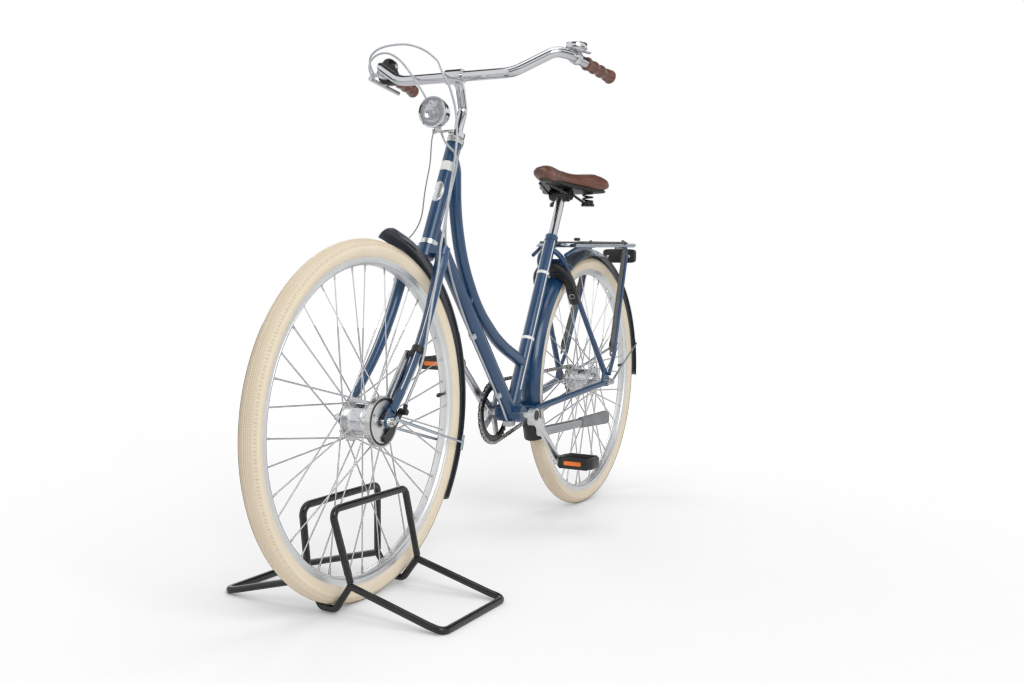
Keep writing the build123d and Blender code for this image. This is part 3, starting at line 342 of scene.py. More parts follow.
# %% [markdown]
# ## Shader maths as expressions
# A finish is a formula over the surface. Wrapping a socket in a small class lets the formula be
# written as ordinary Python, and each operator adds its own Math node.

# %% The socket wrapper
class Value:
    """A socket that takes part in Python arithmetic."""

    def __init__(self, finish, socket):
        self.finish = finish
        self.socket = socket

    def math(self, operation, first=None, second=None):
        """One Math node on this socket and up to one other value; first given swaps the two."""
        values = [self if value is None else value for value in (first, second)]
        if first is None and second is None:
            values = [self]
        return self.finish.node("ShaderNodeMath", {"operation": operation}, dict(enumerate(values)))

    def __add__(self, other):
        return self.math("ADD", second=other)

    __radd__ = __add__

    def __sub__(self, other):
        return self.math("SUBTRACT", second=other)

    def __rsub__(self, other):
        return self.math("SUBTRACT", first=other)

    def __mul__(self, other):
        return self.math("MULTIPLY", second=other)

    __rmul__ = __mul__

    def __truediv__(self, other):
        return self.math("DIVIDE", second=other)

    def __pow__(self, other):
        return self.math("POWER", second=other)

    def sine(self):
        return self.math("SINE")

    def clamp(self):
        return self.finish.node("ShaderNodeClamp", {}, {"Value": self})

    def smooth(self, low, high):
        """0 below low, 1 above high, and an even S between them."""
        settings = {"interpolation_type": "SMOOTHSTEP"}
        sockets = {"Value": self, "From Min": low, "From Max": high}
        return self.finish.node("ShaderNodeMapRange", settings, sockets)


print("socket wrapper ready")

# %% [markdown]
# A finish is one material: a Principled shader with constants on its sockets, and expressions
# linked into the few sockets that vary over the surface.

# %% The finish class
class Finish:
    """A material: one Principled shader and whatever expressions feed it."""

    def __init__(self, name, color, roughness, **constants):
        self.material = bpy.data.materials.new(name)
        self.material.use_nodes = True
        self.tree = self.material.node_tree
        self.shader = self.tree.nodes["Principled BSDF"]
        self.set("Base Color", color)
        self.set("Roughness", roughness)
        for socket, value in constants.items():
            self.set(socket.replace("_", " "), value)

    def node(self, kind, settings, sockets, output=0):
        """Makes any other node: settings first, then values or links into its sockets."""
        made = self.tree.nodes.new(kind)
        for key, value in settings.items():
            setattr(made, key, value)
        for key, value in sockets.items():
            self.feed(made.inputs[key], value)
        return Value(self, made.outputs[output])

    def feed(self, socket, value):
        if isinstance(value, Value):
            self.tree.links.new(value.socket, socket)
        elif isinstance(value, (tuple, list)) and socket.type == "RGBA":
            socket.default_value = (*value, 1.0)[:4]
        else:
            socket.default_value = value

    def set(self, socket, value):
        self.feed(self.shader.inputs[socket], value)

    def place(self):
        return self.node("ShaderNodeTexCoord", {}, {}, "Object")

    def split(self, vector):
        made = self.tree.nodes.new("ShaderNodeSeparateXYZ")
        self.feed(made.inputs[0], vector)
        return [Value(self, output) for output in made.outputs]

    def noise(self, scale, detail=4.0):
        sockets = {"Vector": self.place(), "Scale": scale, "Detail": detail, "Roughness": 0.55}
        return self.node("ShaderNodeTexNoise", {}, sockets)

    def cells(self, scale, feature="F1"):
        sockets = {"Vector": self.place(), "Scale": scale}
        return self.node("ShaderNodeTexVoronoi", {"feature": feature}, sockets)

    def mix(self, factor, first, second):
        """A colour between two colours, in sockets 6 and 7 of the Mix node."""
        sockets = {"Factor": factor, 6: first, 7: second}
        return self.node("ShaderNodeMix", {"data_type": "RGBA"}, sockets, 2)

    def bump(self, height, distance=0.001, strength=1.0):
        sockets = {"Height": height, "Distance": distance, "Strength": strength}
        self.set("Normal", self.node("ShaderNodeBump", {}, sockets))
        return self


print("finish class ready")

# %% [markdown]
# ## Finishes
# The frame is painted steel: a deep blue under clear lacquer, so the coat is smooth and the
# colour below is even. Chrome is a polished metal, the rims and hubs are duller aluminium. The
# tyres are cream rubber and the saddle is brown vinyl, which is nearly as glossy as the paint.

# %% Painted and metal finishes
def paint_finish():
    """Blue lacquer: a faint cloud in the colour, fine grain in the roughness, a clear coat."""
    made = Finish("blue lacquer", (0.010, 0.057, 0.145), 0.3, Coat_Weight=0.55, Coat_Roughness=0.06)
    cloud = made.noise(14.0).smooth(0.3, 0.7)
    made.set("Base Color", made.mix(cloud, (0.008, 0.050, 0.130), (0.012, 0.063, 0.158)))
    made.set("Roughness", made.noise(220.0) * 0.12 + 0.24)
    return made.bump(made.noise(60.0, 2.0), 0.0002, 0.12).material


def slate_finish():
    """Dark slate paint: the front mudguard's own, and painted shade on the rear one's back. Nearly
    black face on, a little bluer in the light.
    """
    made = Finish("slate paint", (0.042, 0.056, 0.078), 0.28, Coat_Weight=0.6, Coat_Roughness=0.08)
    cloud = made.noise(9.0).smooth(0.3, 0.7)
    made.set("Base Color", made.mix(cloud, (0.036, 0.048, 0.068), (0.048, 0.064, 0.088)))
    made.set("Roughness", made.noise(180.0) * 0.14 + 0.22)
    return made.bump(made.noise(60.0, 2.0), 0.0002, 0.12).material


def metal_finish(name, color, roughness, grain, scale=160.0, height=0.08):
    """A bare or plated metal whose roughness and height follow a fine noise."""
    made = Finish(name, color, roughness, Metallic=1.0)
    made.set("Roughness", made.noise(scale) * grain + (roughness - grain / 2))
    darker = tuple(channel * 0.9 for channel in color)
    made.set("Base Color", made.mix(made.noise(scale / 8).smooth(0.35, 0.65), darker, color))
    return made.bump(made.noise(scale / 2, 2.0), 0.00015, height).material


def plastic_finish(name, color, roughness, scale=900.0, height=0.4):
    """Moulded plastic: one colour, with the fine pebble of a spark-eroded mould."""
    made = Finish(name, color, roughness)
    lighter = tuple(channel * 1.25 + 0.004 for channel in color)
    made.set("Base Color", made.mix(made.noise(25.0).smooth(0.3, 0.7), color, lighter))
    made.set("Roughness", made.noise(scale / 6) * 0.12 + (roughness - 0.06))
    return made.bump(made.cells(scale), 0.0002, height).material


print("paint, metal and plastic formulas ready")

# %% [markdown]
# The same formulas give every plain finish: a colour, a roughness and the size of the grain.

# %% Plain finishes
blue_paint = paint_finish()
slate_paint = slate_finish()
chrome = metal_finish("chrome", (0.62, 0.63, 0.65), 0.08, 0.04, 60.0, 0.03)
aluminium = metal_finish("satin aluminium", (0.74, 0.75, 0.76), 0.30, 0.10)
rim_metal = metal_finish("rim aluminium", (0.80, 0.81, 0.82), 0.42, 0.04, 40.0, 0.0)
spoke_steel = metal_finish("spoke steel", (0.74, 0.75, 0.77), 0.3, 0.06, 160.0, 0.0)
chain_steel = metal_finish("chain steel", (0.46, 0.44, 0.41), 0.32, 0.14, 400.0)
dark_metal = metal_finish("dark metal", (0.20, 0.20, 0.21), 0.36, 0.1)
dull_aluminium = metal_finish("dull aluminium", (0.42, 0.43, 0.44), 0.34, 0.10)
zinc = metal_finish("zinc bolt", (0.66, 0.66, 0.64), 0.26, 0.1, 300.0)
black_plastic = plastic_finish("black plastic", (0.012, 0.012, 0.013), 0.38)
black_gloss = plastic_finish("black gloss", (0.008, 0.008, 0.009), 0.16, 300.0, 0.15)
black_rubber = plastic_finish("black rubber", (0.016, 0.016, 0.016), 0.55, 1200.0)
grey_plastic = plastic_finish("grey plastic", (0.20, 0.21, 0.22), 0.42)
grey_rubber = plastic_finish("grey rubber", (0.21, 0.215, 0.22), 0.55, 1200.0)
cable_grey = plastic_finish("cable sheath", (0.44, 0.47, 0.50), 0.36, 1500.0, 0.2)
wire_grey = plastic_finish("lamp wire sheath", (0.16, 0.17, 0.18), 0.42, 1500.0, 0.2)
ivory_paint = plastic_finish("ivory line paint", (0.80, 0.80, 0.76), 0.25, 200.0, 0.1)
# Pale blue-grey metal: the stays' own steel, and painted sheen where it stands for glare on the blue
# rack and the rear guard's crown.
stay_steel_and_painted_sheen = metal_finish("stay steel and painted sheen", (0.50, 0.57, 0.64), 0.24, 0.08)
orange_lens = plastic_finish("orange reflector", (0.85, 0.20, 0.03), 0.14, 420.0, 0.8)
red_lens = plastic_finish("red reflector", (0.42, 0.012, 0.012), 0.12, 420.0, 0.8)
print("plain finishes:", len(bpy.data.materials))

# %% [markdown]
# Rubber and vinyl are softer to look at. The tyre is paler where the road has not touched it, and
# its grooves are darker by their depth, which is painted shade. The vinyl of the saddle has a
# leather
# grain: cells with soft valleys between them, pressed in by a roller.

# %% Rubber and vinyl finishes
def rubber_finish():
    """Cream rubber: cream mixed with a browner cream by a broad noise, matt, with a fine pore."""
    made = Finish("cream rubber", (0.86, 0.74, 0.56), 0.55)
    stain = made.noise(11.0, 5.0).smooth(0.35, 0.75)
    clean = made.mix(stain * 0.6, (0.90, 0.79, 0.62), (0.84, 0.72, 0.54))
    # Painted shade: the grooves are coloured a darker brown in step with their depth.
    groove = made.node("ShaderNodeAttribute", {"attribute_name": "groove"}, {}, "Fac")
    made.set("Base Color", made.mix(groove.clamp(), clean, (0.50, 0.39, 0.26)))
    made.set("Roughness", made.noise(120.0) * 0.15 + 0.46)
    return made.bump(made.noise(900.0, 3.0), 0.0002, 0.5).material


def vinyl_finish(name, grain_scale, roughness):
    """Brown vinyl: a warm brown with darker cloud, and grain valleys between Voronoi cells."""
    made = Finish(name, (0.16, 0.055, 0.03), roughness, Coat_Weight=0.5, Coat_Roughness=0.15)
    cloud = made.noise(18.0, 5.0).smooth(0.3, 0.7)
    made.set("Base Color", made.mix(cloud, (0.115, 0.036, 0.020), (0.175, 0.060, 0.032)))
    valley = made.cells(grain_scale, feature="DISTANCE_TO_EDGE").smooth(0.0, 0.25)
    made.set("Roughness", (1 - valley) * 0.16 + (roughness - 0.02))
    return made.bump(valley + made.noise(grain_scale * 2) * 0.3, 0.0004, 0.45).material


cream_rubber = rubber_finish()
saddle_vinyl = vinyl_finish("saddle vinyl", 620.0, 0.30)
grip_vinyl = vinyl_finish("grip vinyl", 760.0, 0.34)
print("rubber and vinyl ready")

# %% [markdown]
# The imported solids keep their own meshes. Each one only needs its finish put in its material
# slots, so a dictionary from finish to node names does the whole bicycle at once.

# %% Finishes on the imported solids
node_finishes = {
    blue_paint: "fork head_tube top_tube down_tube seat_tube bottom_bracket chain_stays "
    "seat_stays rack_legs",
    chrome: "stem handlebar seat_post bell",
    aluminium: "headset_cups brake_lever front_hub rear_hub rear_axle left_crank right_crank",
    rim_metal: "front_rim rear_rim",
    spoke_steel: "front_spokes rear_spokes",
    # The rack is blue-painted tube; its pale blue-grey finish is painted reflection of the bright
    # room.
    stay_steel_and_painted_sheen: "front_mudguard_stays rear_mudguard_stays rack",
    chain_steel: "chain",
    cream_rubber: "front_tyre rear_tyre",
    saddle_vinyl: "saddle",
    grip_vinyl: "grips",
    slate_paint: "front_mudguard rear_mudguard",
    black_plastic: "hub_fittings rear_mudguard_flap gear_shifter ring_lock rear_lamp "
    "left_pedal right_pedal",
    black_gloss: "stand_feet stand_legs stand_cradles stand_hoops saddle_frame "
    "saddle_springs chainring",
    black_rubber: "rack_straps",
    cable_grey: "brake_cable gear_cable cable_clips",
    wire_grey: "lamp_wire",
    zinc: "kickstand kickstand_bracket headlamp front_brake",
}
for finish, names in node_finishes.items():
    for name in names.split():
        node = nodes[name]
        for place in range(len(node.material_slots)):
            node.material_slots[place].material = finish
        if not node.material_slots:
            node.data.materials.append(finish)
unfinished = [name for name in nodes if name not in " ".join(node_finishes.values()).split()]
print("nodes without a finish:", unfinished)

# %% [markdown]
# ## Tyres
# A tyre is cured in a mould whose halves print the tread, the ribs and the rings on the sidewall.
# So the tyre here is one profile turned about the axle: the angle round the section, from bead
# over tread to bead, is one parameter, and the turn of the wheel is the other. The tread is a
# small height added along the section's own direction.

# %% Tyre surface
WHEEL_RADIUS, TYRE_MIDDLE, TYRE_TUBE = mm(350, 330, 19.9)
TREAD_STEPS = 236
BEAD_ANGLE, TREAD_ANGLE, RIB_ANGLE = 2.58, 0.86, 1.10
RING_ANGLES = (1.42, 1.92, 2.18)


def tyre_surface(axle, turns=1080, across=86):
    """Bead to bead by angle a: centre ring + (out * cos a + left * sin a) * (tube - groove).

    The groove is deep where the product of two crossing waves is negative, and only on the tread.
    """
    turn = even_turns(turns)[:, None]
    spread = np.linspace(-1, 1, across)[None, :]
    a = BEAD_ANGLE * (0.35 * spread + 0.65 * spread**3)
    arc = a * TYRE_TUBE
    run = turn * WHEEL_RADIUS
    tread = fall(np.abs(a), TREAD_ANGLE, 40)
    band = fall(np.abs(arc), 0.0034, 6000)
    step = 2 * pi * WHEEL_RADIUS / TREAD_STEPS
    round_turn, across_turn = 2 * pi * run / step, 2 * pi * arc / 0.0074
    diamonds = np.cos(round_turn + across_turn) * np.cos(round_turn - across_turn)
    blocks = 0.8 / (1 + np.exp(diamonds * 4))
    shoulder = fall(np.abs(np.abs(a) - RIB_ANGLE), 0.15, 60)
    ribs = shoulder * 0.5 * (1 + np.tanh(4 * np.cos(2 * pi * run / (step * 0.75))))
    rings = sum(hump(np.abs(a), ring, 0.025) for ring in RING_ANGLES)
    centre_cuts = hump(np.abs(arc), 0.0021, 0.0006)
    groove = tread * ((1 - band) * blocks * 0.0009 + centre_cuts * 0.0010)
    depth = groove + (1 - ribs) * shoulder * 0.0006 - rings * 0.00025 + 0.0001
    thick = TYRE_TUBE - depth
    out = TYRE_MIDDLE + np.cos(a) * thick
    side = np.broadcast_to(np.sin(a) * thick, out.shape)
    places = (axle[0] + side, axle[1] + np.cos(turn) * out, axle[2] + np.sin(turn) * out)
    return np.stack(places, -1), np.broadcast_to(depth / 0.0012, out.shape)


print("tread steps round the tyre:", TREAD_STEPS)

# %% [markdown]
# Each wheel has the same tyre. The depth of the tread is kept as an attribute of the surface, so
# that the rubber's finish can paint shade into the grooves.

# %% Tyres on both wheels
for wheel, axle in WHEELS:
    tyre_points, groove_shading = tyre_surface(axle)
    rows, columns = tyre_points.shape[:2]
    tyre = add_piece(
        wheel + "_tyre_tread",
        tyre_points,
        grid_faces(rows, columns, ring=True, loop=True),
        wheel + "_wheel",
        cream_rubber,
        sharp=60,
    )
    shade = tyre.data.attributes.new("groove", "FLOAT", "POINT")
    shade.data.foreach_set("value", groove_shading.astype(np.float32).ravel())
    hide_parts(wheel + "_tyre")
    print(tyre.name, len(tyre.data.polygons), "faces")

# %% [markdown]
# ## Rims, nipples and valves
# A rim is a rolled strip, so it too is one profile turned about the axle: outer lips that hold
# the tyre, brake faces with a shallow band, and an inner bed where the spoke nipples sit.

# %% Rims
rim_profile = mm(
    (-12.5, 317.2), (-11.8, 317.6), (-11, 316.8), (-10.4, 313.4), (0, 312.6), (10.4, 313.4),
    (11, 316.8), (11.8, 317.6), (12.5, 317.2), (12.5, 310.5), (11.9, 310), (11.9, 306.5),
    (12.4, 306), (12.2, 304.2), (10.6, 302.1), (7.5, 300.4), (7, 299.4), (4, 299), (0, 299),
    (-4, 299), (-7, 299.4), (-7.5, 300.4), (-10.6, 302.1), (-12.2, 304.2), (-12.4, 306),
    (-11.9, 306.5), (-11.9, 310), (-12.5, 310.5)
)
for wheel, axle in WHEELS:
    rim = add_turned(
        wheel + "_rim_rolled", rim_profile, axle, left_way, wheel + "_wheel", rim_metal,
        180, True, 25
    )
    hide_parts(wheel + "_rim")
print("rim profile points:", len(rim_profile))

# %% [markdown]
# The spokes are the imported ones. Each ends in a plated nipple that sits in the rim's inner bed and
# leans with its spoke, so a nipple is one small turned shape, copied along the eighteen spokes of
# each flange. A valve stands between two spokes.

# %% Spoke lines
SPOKES_PER_FLANGE = 18
SPOKE_TIP_RADIUS, VALVE_RADIUS = 0.2984, 0.3000


def spoke_lines(axle, flange_radius, cross_angle):
    """Foot and tip of every spoke: laced forwards and backwards in turn on both flanges."""
    index = np.arange(SPOKES_PER_FLANGE)
    lead = np.where(index % 2 == 0, 1.0, -1.0)
    feet, tips = [], []
    for side in (-1.0, 1.0):
        hub_turn = 2 * pi * (index + (0.5 if side < 0 else 0.0)) / SPOKES_PER_FLANGE
        rim_turn = hub_turn + lead * radians(cross_angle)
        foot_side = side * (0.027 + lead * 0.0022)
        rim_side = side * (0.0032 + lead * 0.0016)
        feet.append(np.column_stack([foot_side, polar(flange_radius, hub_turn)]))
        tips.append(np.column_stack([rim_side, polar(SPOKE_TIP_RADIUS, rim_turn)]))
    return axle + np.concatenate(feet), axle + np.concatenate(tips)


def frames_along(ways):
    """For each direction, the three axes of a shape whose own X lies along it."""
    ways = unit(ways)
    second = unit(np.cross(ways, np.broadcast_to(left_way + [0, 0.01, 0.02], ways.shape)))
    return np.stack([ways, second, np.cross(ways, second)], 1)


def small_turned(profile, count=8):
    """A small turned shape about X with its two ends closed, as points and faces."""
    points = turned(profile, (0, 0, 0), (1, 0, 0), count)
    return points.reshape(-1, 3), turned_faces(count, len(profile))


print("spoke lines ready for", 2 * SPOKES_PER_FLANGE, "spokes a wheel")

# %% [markdown]
# A nipple screws on to the spoke's end through the rim, and the spoke's own head hooks into the
# hub flange. The valve is one turned shape, its cap and its stem.

# %% Nipples and valves
nipple_shape = small_turned(mm((-11.8, 1.2), (-11, 1.7), (-1.2, 1.8), (-0.4, 3), (0.4, 3)))
hook_shape = small_turned(mm((-3, 0.9), (-2.2, 1.9), (0.6, 1.9), (1.2, 1)))
for wheel, axle, foot_radius, cross in (
    ("front", front_axle, 0.0435, 40), ("rear", rear_axle, 0.0375, 60)
):
    feet, tips = spoke_lines(axle, foot_radius, cross)
    points, faces = copies(*nipple_shape, tips, frames_along(tips - feet))
    add_piece(wheel + "_nipples", points, faces, wheel + "_wheel", zinc)
    flange_heads = feet - unit(tips - feet) * 0.002
    heads = np.tile(np.eye(3), (len(feet), 1, 1))
    points, faces = copies(*hook_shape, flange_heads, heads)
    add_piece(wheel + "_spoke_heads", points, faces, wheel + "_wheel", zinc)
    angle = radians(5.0)
    out = np.array([0, cos(angle), sin(angle)])
    valve_profile = mm((0, 3), (12, 3), (12, 4), (22, 4.2), (26, 3.5), (28, 1.8))
    valve_base = axle + out * VALVE_RADIUS
    add_turned(
        wheel + "_valve", valve_profile, valve_base, -out, wheel + "_wheel",
        black_plastic, 16
    )
print("nipples per wheel:", len(tips))

# %% [markdown]
# ## The chain
# A roller chain is pairs of figure-eight plates on pins, outer and inner pairs in turn. Its way
# is two arcs, one round each sprocket at its pitch radius, joined by two straight runs that
# touch both circles. The links are even in number and spread evenly over that way.

# %% Chain line
CHAIN_SIDE = -0.045
CHAIN_PITCH = 0.0127
RING_TEETH, SPROCKET_TEETH = 38, 18
RING_RADIUS, SPROCKET_RADIUS = (
    CHAIN_PITCH / (2 * sin(pi / teeth)) for teeth in (RING_TEETH, SPROCKET_TEETH)
)
span = (rear_axle - bracket)[1:]
span_length = float(np.hypot(*span))
span_angle = atan2(span[1], span[0])
lean = np.arccos((RING_RADIUS - SPROCKET_RADIUS) / span_length)


def round_point(centre, radius, angle):
    """The point of a circle in the chain's plane at an angle from straight back, as (y, z)."""
    return np.array([centre[1] + radius * np.cos(angle), centre[2] + radius * np.sin(angle)])


def chain_way(count):
    """Even points on the closed chain line, measured along its arcs and straight runs."""
    top, low = span_angle + lean, span_angle - lean
    ring_turns = np.linspace(top, low + 2 * pi, 200)
    cog_turns = np.linspace(low, top, 90)
    ring = np.stack(round_point(bracket, RING_RADIUS, ring_turns), -1)
    cog = np.stack(round_point(rear_axle, SPROCKET_RADIUS, cog_turns), -1)
    lower = np.linspace(ring[-1], cog[0], 60)[1:-1]
    upper = np.linspace(cog[-1], ring[0], 60)[1:-1]
    line = np.concatenate([ring, lower, cog, upper, ring[:1]])
    length = np.concatenate([[0], np.cumsum(np.hypot(*np.diff(line, axis=0).T))])
    even = np.linspace(0, length[-1], count, endpoint=False)
    placed = np.stack([np.interp(even, length, line[:, axis]) for axis in (0, 1)], -1)
    return placed, length[-1]


link_total = 2 * round(chain_way(4)[1] / CHAIN_PITCH / 2)
pins, chain_length = chain_way(link_total)
pins = np.column_stack([np.full(link_total, CHAIN_SIDE), pins])
print("chain:", link_total, "links,", round(chain_length, 3), "m")

# %% [markdown]
# A link plate is stamped as a figure of eight; inner and outer pairs alternate, and a roller
# turns between each inner pair. All of them become one mesh.

# %% Chain links
def link_plate(pitch, end_radius, waist, thickness, at):
    """A figure of eight: two round ends a pitch apart and a narrower waist, made thick."""
    turns = np.linspace(radians(60), radians(300), 7)
    left_end = polar(end_radius, turns)
    right_end = [pitch, 0] - left_end
    outline = np.concatenate([left_end, [[pitch / 2, -waist]], right_end, [[pitch / 2, waist]]])
    points, faces = plate(outline, (at, 0, 0), (0, 1, 0), (0, 0, 1), thickness)
    return points.reshape(-1, 3), faces


runs = np.roll(pins, -1, 0) - pins
link_frames = np.stack(
    [np.broadcast_to(left_way, runs.shape), unit(runs), np.cross(left_way, unit(runs))], 1
)
chain_points, chain_faces = [], []


def add_block(points, faces):
    """Adds a set of copies to the chain, its corners numbered after those already there."""
    offset = sum(len(block) for block in chain_points)
    chain_points.append(points.reshape(-1, 3))
    chain_faces.extend([[corner + offset for corner in face] for face in faces])


for parity, half_gap in ((0, 0.0021), (1, 0.0030)):
    for side in (-1, 1):
        at = side * half_gap - 0.0004
        shape = link_plate(CHAIN_PITCH, 0.0038, 0.0026, 0.0008, at)
        add_block(*copies(*shape, pins[parity::2], link_frames[parity::2]))
roller = small_turned(
    mm(
        (-3.2, 1.2), (-3.2, 1.8), (-1.8, 1.8), (-1.8, 3.1), (1.8, 3.1), (1.8, 1.8), (3.2, 1.8),
        (3.2, 1.2)
    ),
    10
)
add_block(*copies(*roller, pins, link_frames))
chain = add_piece(
    "chain_links", np.concatenate(chain_points), chain_faces, "frame", chain_steel, 30
)
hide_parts("chain")
print("chain faces:", len(chain.data.polygons))

# %% [markdown]
# ## Toothed wheels
# A chainring is stamped from plate: teeth outside and a round hole inside. The teeth are a
# radius that rises and falls with the angle, as the roller's seat and the tooth's tip alternate.

# %% Chainring and sprocket
def tooth_outline(teeth, pitch_radius, start=0.0, per_tooth=10):
    """Radius = pitch radius + 2.2 mm at a tip and - 3.4 mm in a seat, with flattened tips."""
    turns = start + even_turns(teeth * per_tooth)
    wave = np.cos((turns - start) * teeth)
    radius = pitch_radius - 0.0006 + 0.0030 * np.tanh(1.7 * wave)
    return polar(radius, turns)


def toothed_plate(name, centre, teeth, pitch_radius, inner_radius, half, body, finish, start):
    """A ring between a toothed edge and a round hole: six loops joined into a closed tube."""
    outer = tooth_outline(teeth, pitch_radius, start)
    edge = outer * (1 - 0.0022 / np.linalg.norm(outer, axis=1, keepdims=True))
    hole = unit(outer) * inner_radius
    loops = [
        (hole, -half), (edge, -half), (outer, -half * 0.35), (outer, half * 0.35), (edge, half),
        (hole, half)
    ]
    points = np.stack([centre + np.insert(xy, 0, at, axis=1) for xy, at in loops], 1)
    faces = grid_faces(len(points), len(loops), True, True)
    return add_piece(name, points, faces, body, finish, 30)


ring_centre = bracket + np.array([CHAIN_SIDE, 0, 0])
cog_centre = rear_axle + np.array([CHAIN_SIDE, 0, 0])
ring_start = span_angle + lean
chainring = toothed_plate(
    "chainring_toothed", ring_centre, RING_TEETH, RING_RADIUS, 0.0585, 0.0015, "crank",
    black_gloss, ring_start
)
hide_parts("chainring")
cog = toothed_plate(
    "rear_sprocket", cog_centre, SPROCKET_TEETH, SPROCKET_RADIUS, 0.026, 0.0012, "rear_wheel",
    chain_steel, span_angle - lean
)
print("toothed wheels:", chainring.name, cog.name)

# %% [markdown]
# ## The saddle
# A comfort saddle is a foam pad under a stretched vinyl cover, on a moulded black base. The cover
# is drawn tight, so the pad is a smooth closed form: narrow and round at the nose, flaring to two
# lobes behind. The form is worked out first, a little small, and then a short cloth run swells
# it, which is what the foam does.

# %% Saddle form
post_high = bracket + seat_up * 0.617
SADDLE_LENGTH = 0.262
SADDLE_NOSE = post_high[1] - 0.56 * SADDLE_LENGTH


def at_stations(stations, t, per_run):
    """Each measure of the stations at t, as one column: the first number of a station is its t."""
    fine = smooth_path(stations, per_run).T
    return [np.interp(t, fine[0], measure)[:, None] for measure in fine[1:]]


def saddle_surface(rows=90, columns=56):
    """Section at t from nose to tail: half width and heights are smooth curves through stations.

    The upper half is a dome raised to a power; a dip along the middle parts the lobes behind.
    """
    stations = np.array([
        (0.00, 0.004, 0.056, 0.058), (0.03, 0.018, 0.047, 0.063), (0.10, 0.026, 0.040, 0.066),
        (0.20, 0.031, 0.034, 0.065), (0.40, 0.041, 0.030, 0.059), (0.58, 0.060, 0.026, 0.055),
        (0.74, 0.089, 0.021, 0.057), (0.88, 0.103, 0.019, 0.062), (0.96, 0.095, 0.023, 0.061),
        (0.992, 0.070, 0.032, 0.055), (1.00, 0.045, 0.038, 0.048),
    ])
    t = 0.5 - 0.5 * np.cos(np.linspace(0, pi, rows))
    half, low, high = at_stations(stations, t, 24)
    a = even_turns(columns)[None, :]
    x = half * signed_power(np.cos(a), 0.62)
    middle_height = low + (high - low) * 0.35
    above = (high - middle_height) * np.abs(np.sin(a)) ** 0.9
    below = (middle_height - low) * np.abs(np.sin(a)) ** 0.5
    lobes = 0.0035 * np.clip((t[:, None] - 0.5) / 0.4, 0, 1) * hump(x, 0, 0.018)
    z = middle_height + np.where(np.sin(a) > 0, above - lobes, -below)
    y = SADDLE_NOSE + t[:, None] * SADDLE_LENGTH + 0 * a
    return np.stack([x, y, post_high[2] + z], -1)


print("saddle nose at", round(float(SADDLE_NOSE), 3))

# %% [markdown]
# Foam under a tight cover bulges evenly. The form is remeshed, blown up for a few frames as
# cloth, and each vertex keeps at most a set distance of its move.

# %% Swelling by cloth
def swell(made, voxel, pressure, cap, steps=20):
    """Remeshes evenly, blows up as cloth for twenty frames and keeps at most cap of each move."""
    remesh = made.modifiers.new("even mesh", "REMESH")
    remesh.mode = "VOXEL"
    remesh.voxel_size = voxel
    fixed = bpy.data.meshes.new_from_object(
        made.evaluated_get(bpy.context.evaluated_depsgraph_get())
    )
    made.modifiers.clear()
    made.data = fixed
    fixed.polygons.foreach_set("use_smooth", np.ones(len(fixed.polygons), bool))
    start = np.empty(len(fixed.vertices) * 3)
    fixed.vertices.foreach_get("co", start)
    cloth = made.modifiers.new("swelling", "CLOTH")
    cloth.settings.use_pressure = True
    cloth.settings.uniform_pressure_force = pressure
    cloth.settings.effector_weights.gravity = 0
    for step in range(1, steps + 1):
        bpy.context.scene.frame_set(step)
    puffed = made.evaluated_get(bpy.context.evaluated_depsgraph_get()).to_mesh()
    end = np.empty(len(fixed.vertices) * 3)
    puffed.vertices.foreach_get("co", end)
    made.modifiers.clear()
    bpy.context.scene.frame_set(1)
    move = (end - start).reshape(-1, 3)
    size = np.linalg.norm(move, axis=1, keepdims=True)
    move *= np.minimum(1, cap / np.maximum(size, 1e-9))
    fixed.vertices.foreach_set("co", start + move.ravel())
    fixed.update()
    print(made.name, "swelled by up to", round(float(size.max()) * 1000, 1), "mm, kept", cap * 1000)
    return made


print("swelling ready")

# %% [markdown]
# The pad is the form swelled and smoothed. It stands in for the imported saddle.

# %% Saddle pad
saddle = add_tube("saddle_pad", saddle_surface(), "frame", saddle_vinyl, 180)
swell(saddle, 0.0045, 4.0, 0.005)
subdivision = saddle.modifiers.new("smooth cover", "SUBSURF")
subdivision.levels = subdivision.render_levels = 1
if not saddle.data.materials:
    saddle.data.materials.append(saddle_vinyl)
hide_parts("saddle")
print("saddle faces:", len(saddle.data.polygons))

# %% [markdown]
# Under the pad is the moulded base: a shallow tray that follows the pad's outline, its lip
# showing as a dark line below the vinyl. It is the same formula with the outline drawn in.

# %% Saddle base
def saddle_base(rows=60, columns=40):
    """A tray 11 mm deep at the pad's lower edge: the pad's outline, a little narrower."""
    stations = np.array(
        [
            (0.10, 0.008, 0.039), (0.15, 0.015, 0.035), (0.24, 0.023, 0.032), (0.40, 0.034, 0.0265),
            (0.58, 0.051, 0.0225), (0.74, 0.078, 0.0175), (0.88, 0.091, 0.0155),
            (0.95, 0.082, 0.0185), (0.985, 0.054, 0.026)
        ]
    )
    t = np.linspace(0.10, 0.985, rows)
    half, low = at_stations(stations, t, 20)
    a = even_turns(columns)[None, :]
    x = half * signed_power(np.cos(a), 0.4)
    z = low + 0.0015 + 0.0055 * signed_power(np.sin(a), 0.6)
    y = SADDLE_NOSE + t[:, None] * SADDLE_LENGTH + 0 * a
    return np.stack([x, y, post_high[2] + z], -1)


base = add_tube("saddle_base", saddle_base(), "frame", black_plastic, 40)
print("saddle base faces:", len(base.data.polygons))

# %% [markdown]
# ## Springs
# A coil spring is a round wire carried along a helix: the angle round the axis and the height
# rise together. A little over half a turn at each end lies flat, as on a ground spring.

# %% Saddle springs
SPRING_WIRE, SPRING_TURNS = 0.0026, 4.6


def helix(foot, height, radius, turns, wire, steps=40):
    """Height rises only between the two flat end turns; the angle goes round evenly."""
    turn = np.linspace(0, turns, int(turns * steps))
    rise = np.clip((turn - 0.6) / (turns - 1.2), 0, 1) * (height - 2 * wire) + wire
    angle = 2 * pi * turn
    return np.stack(
        [foot[0] + radius * np.cos(angle), foot[1] + radius * np.sin(angle), foot[2] + rise], -1
    )


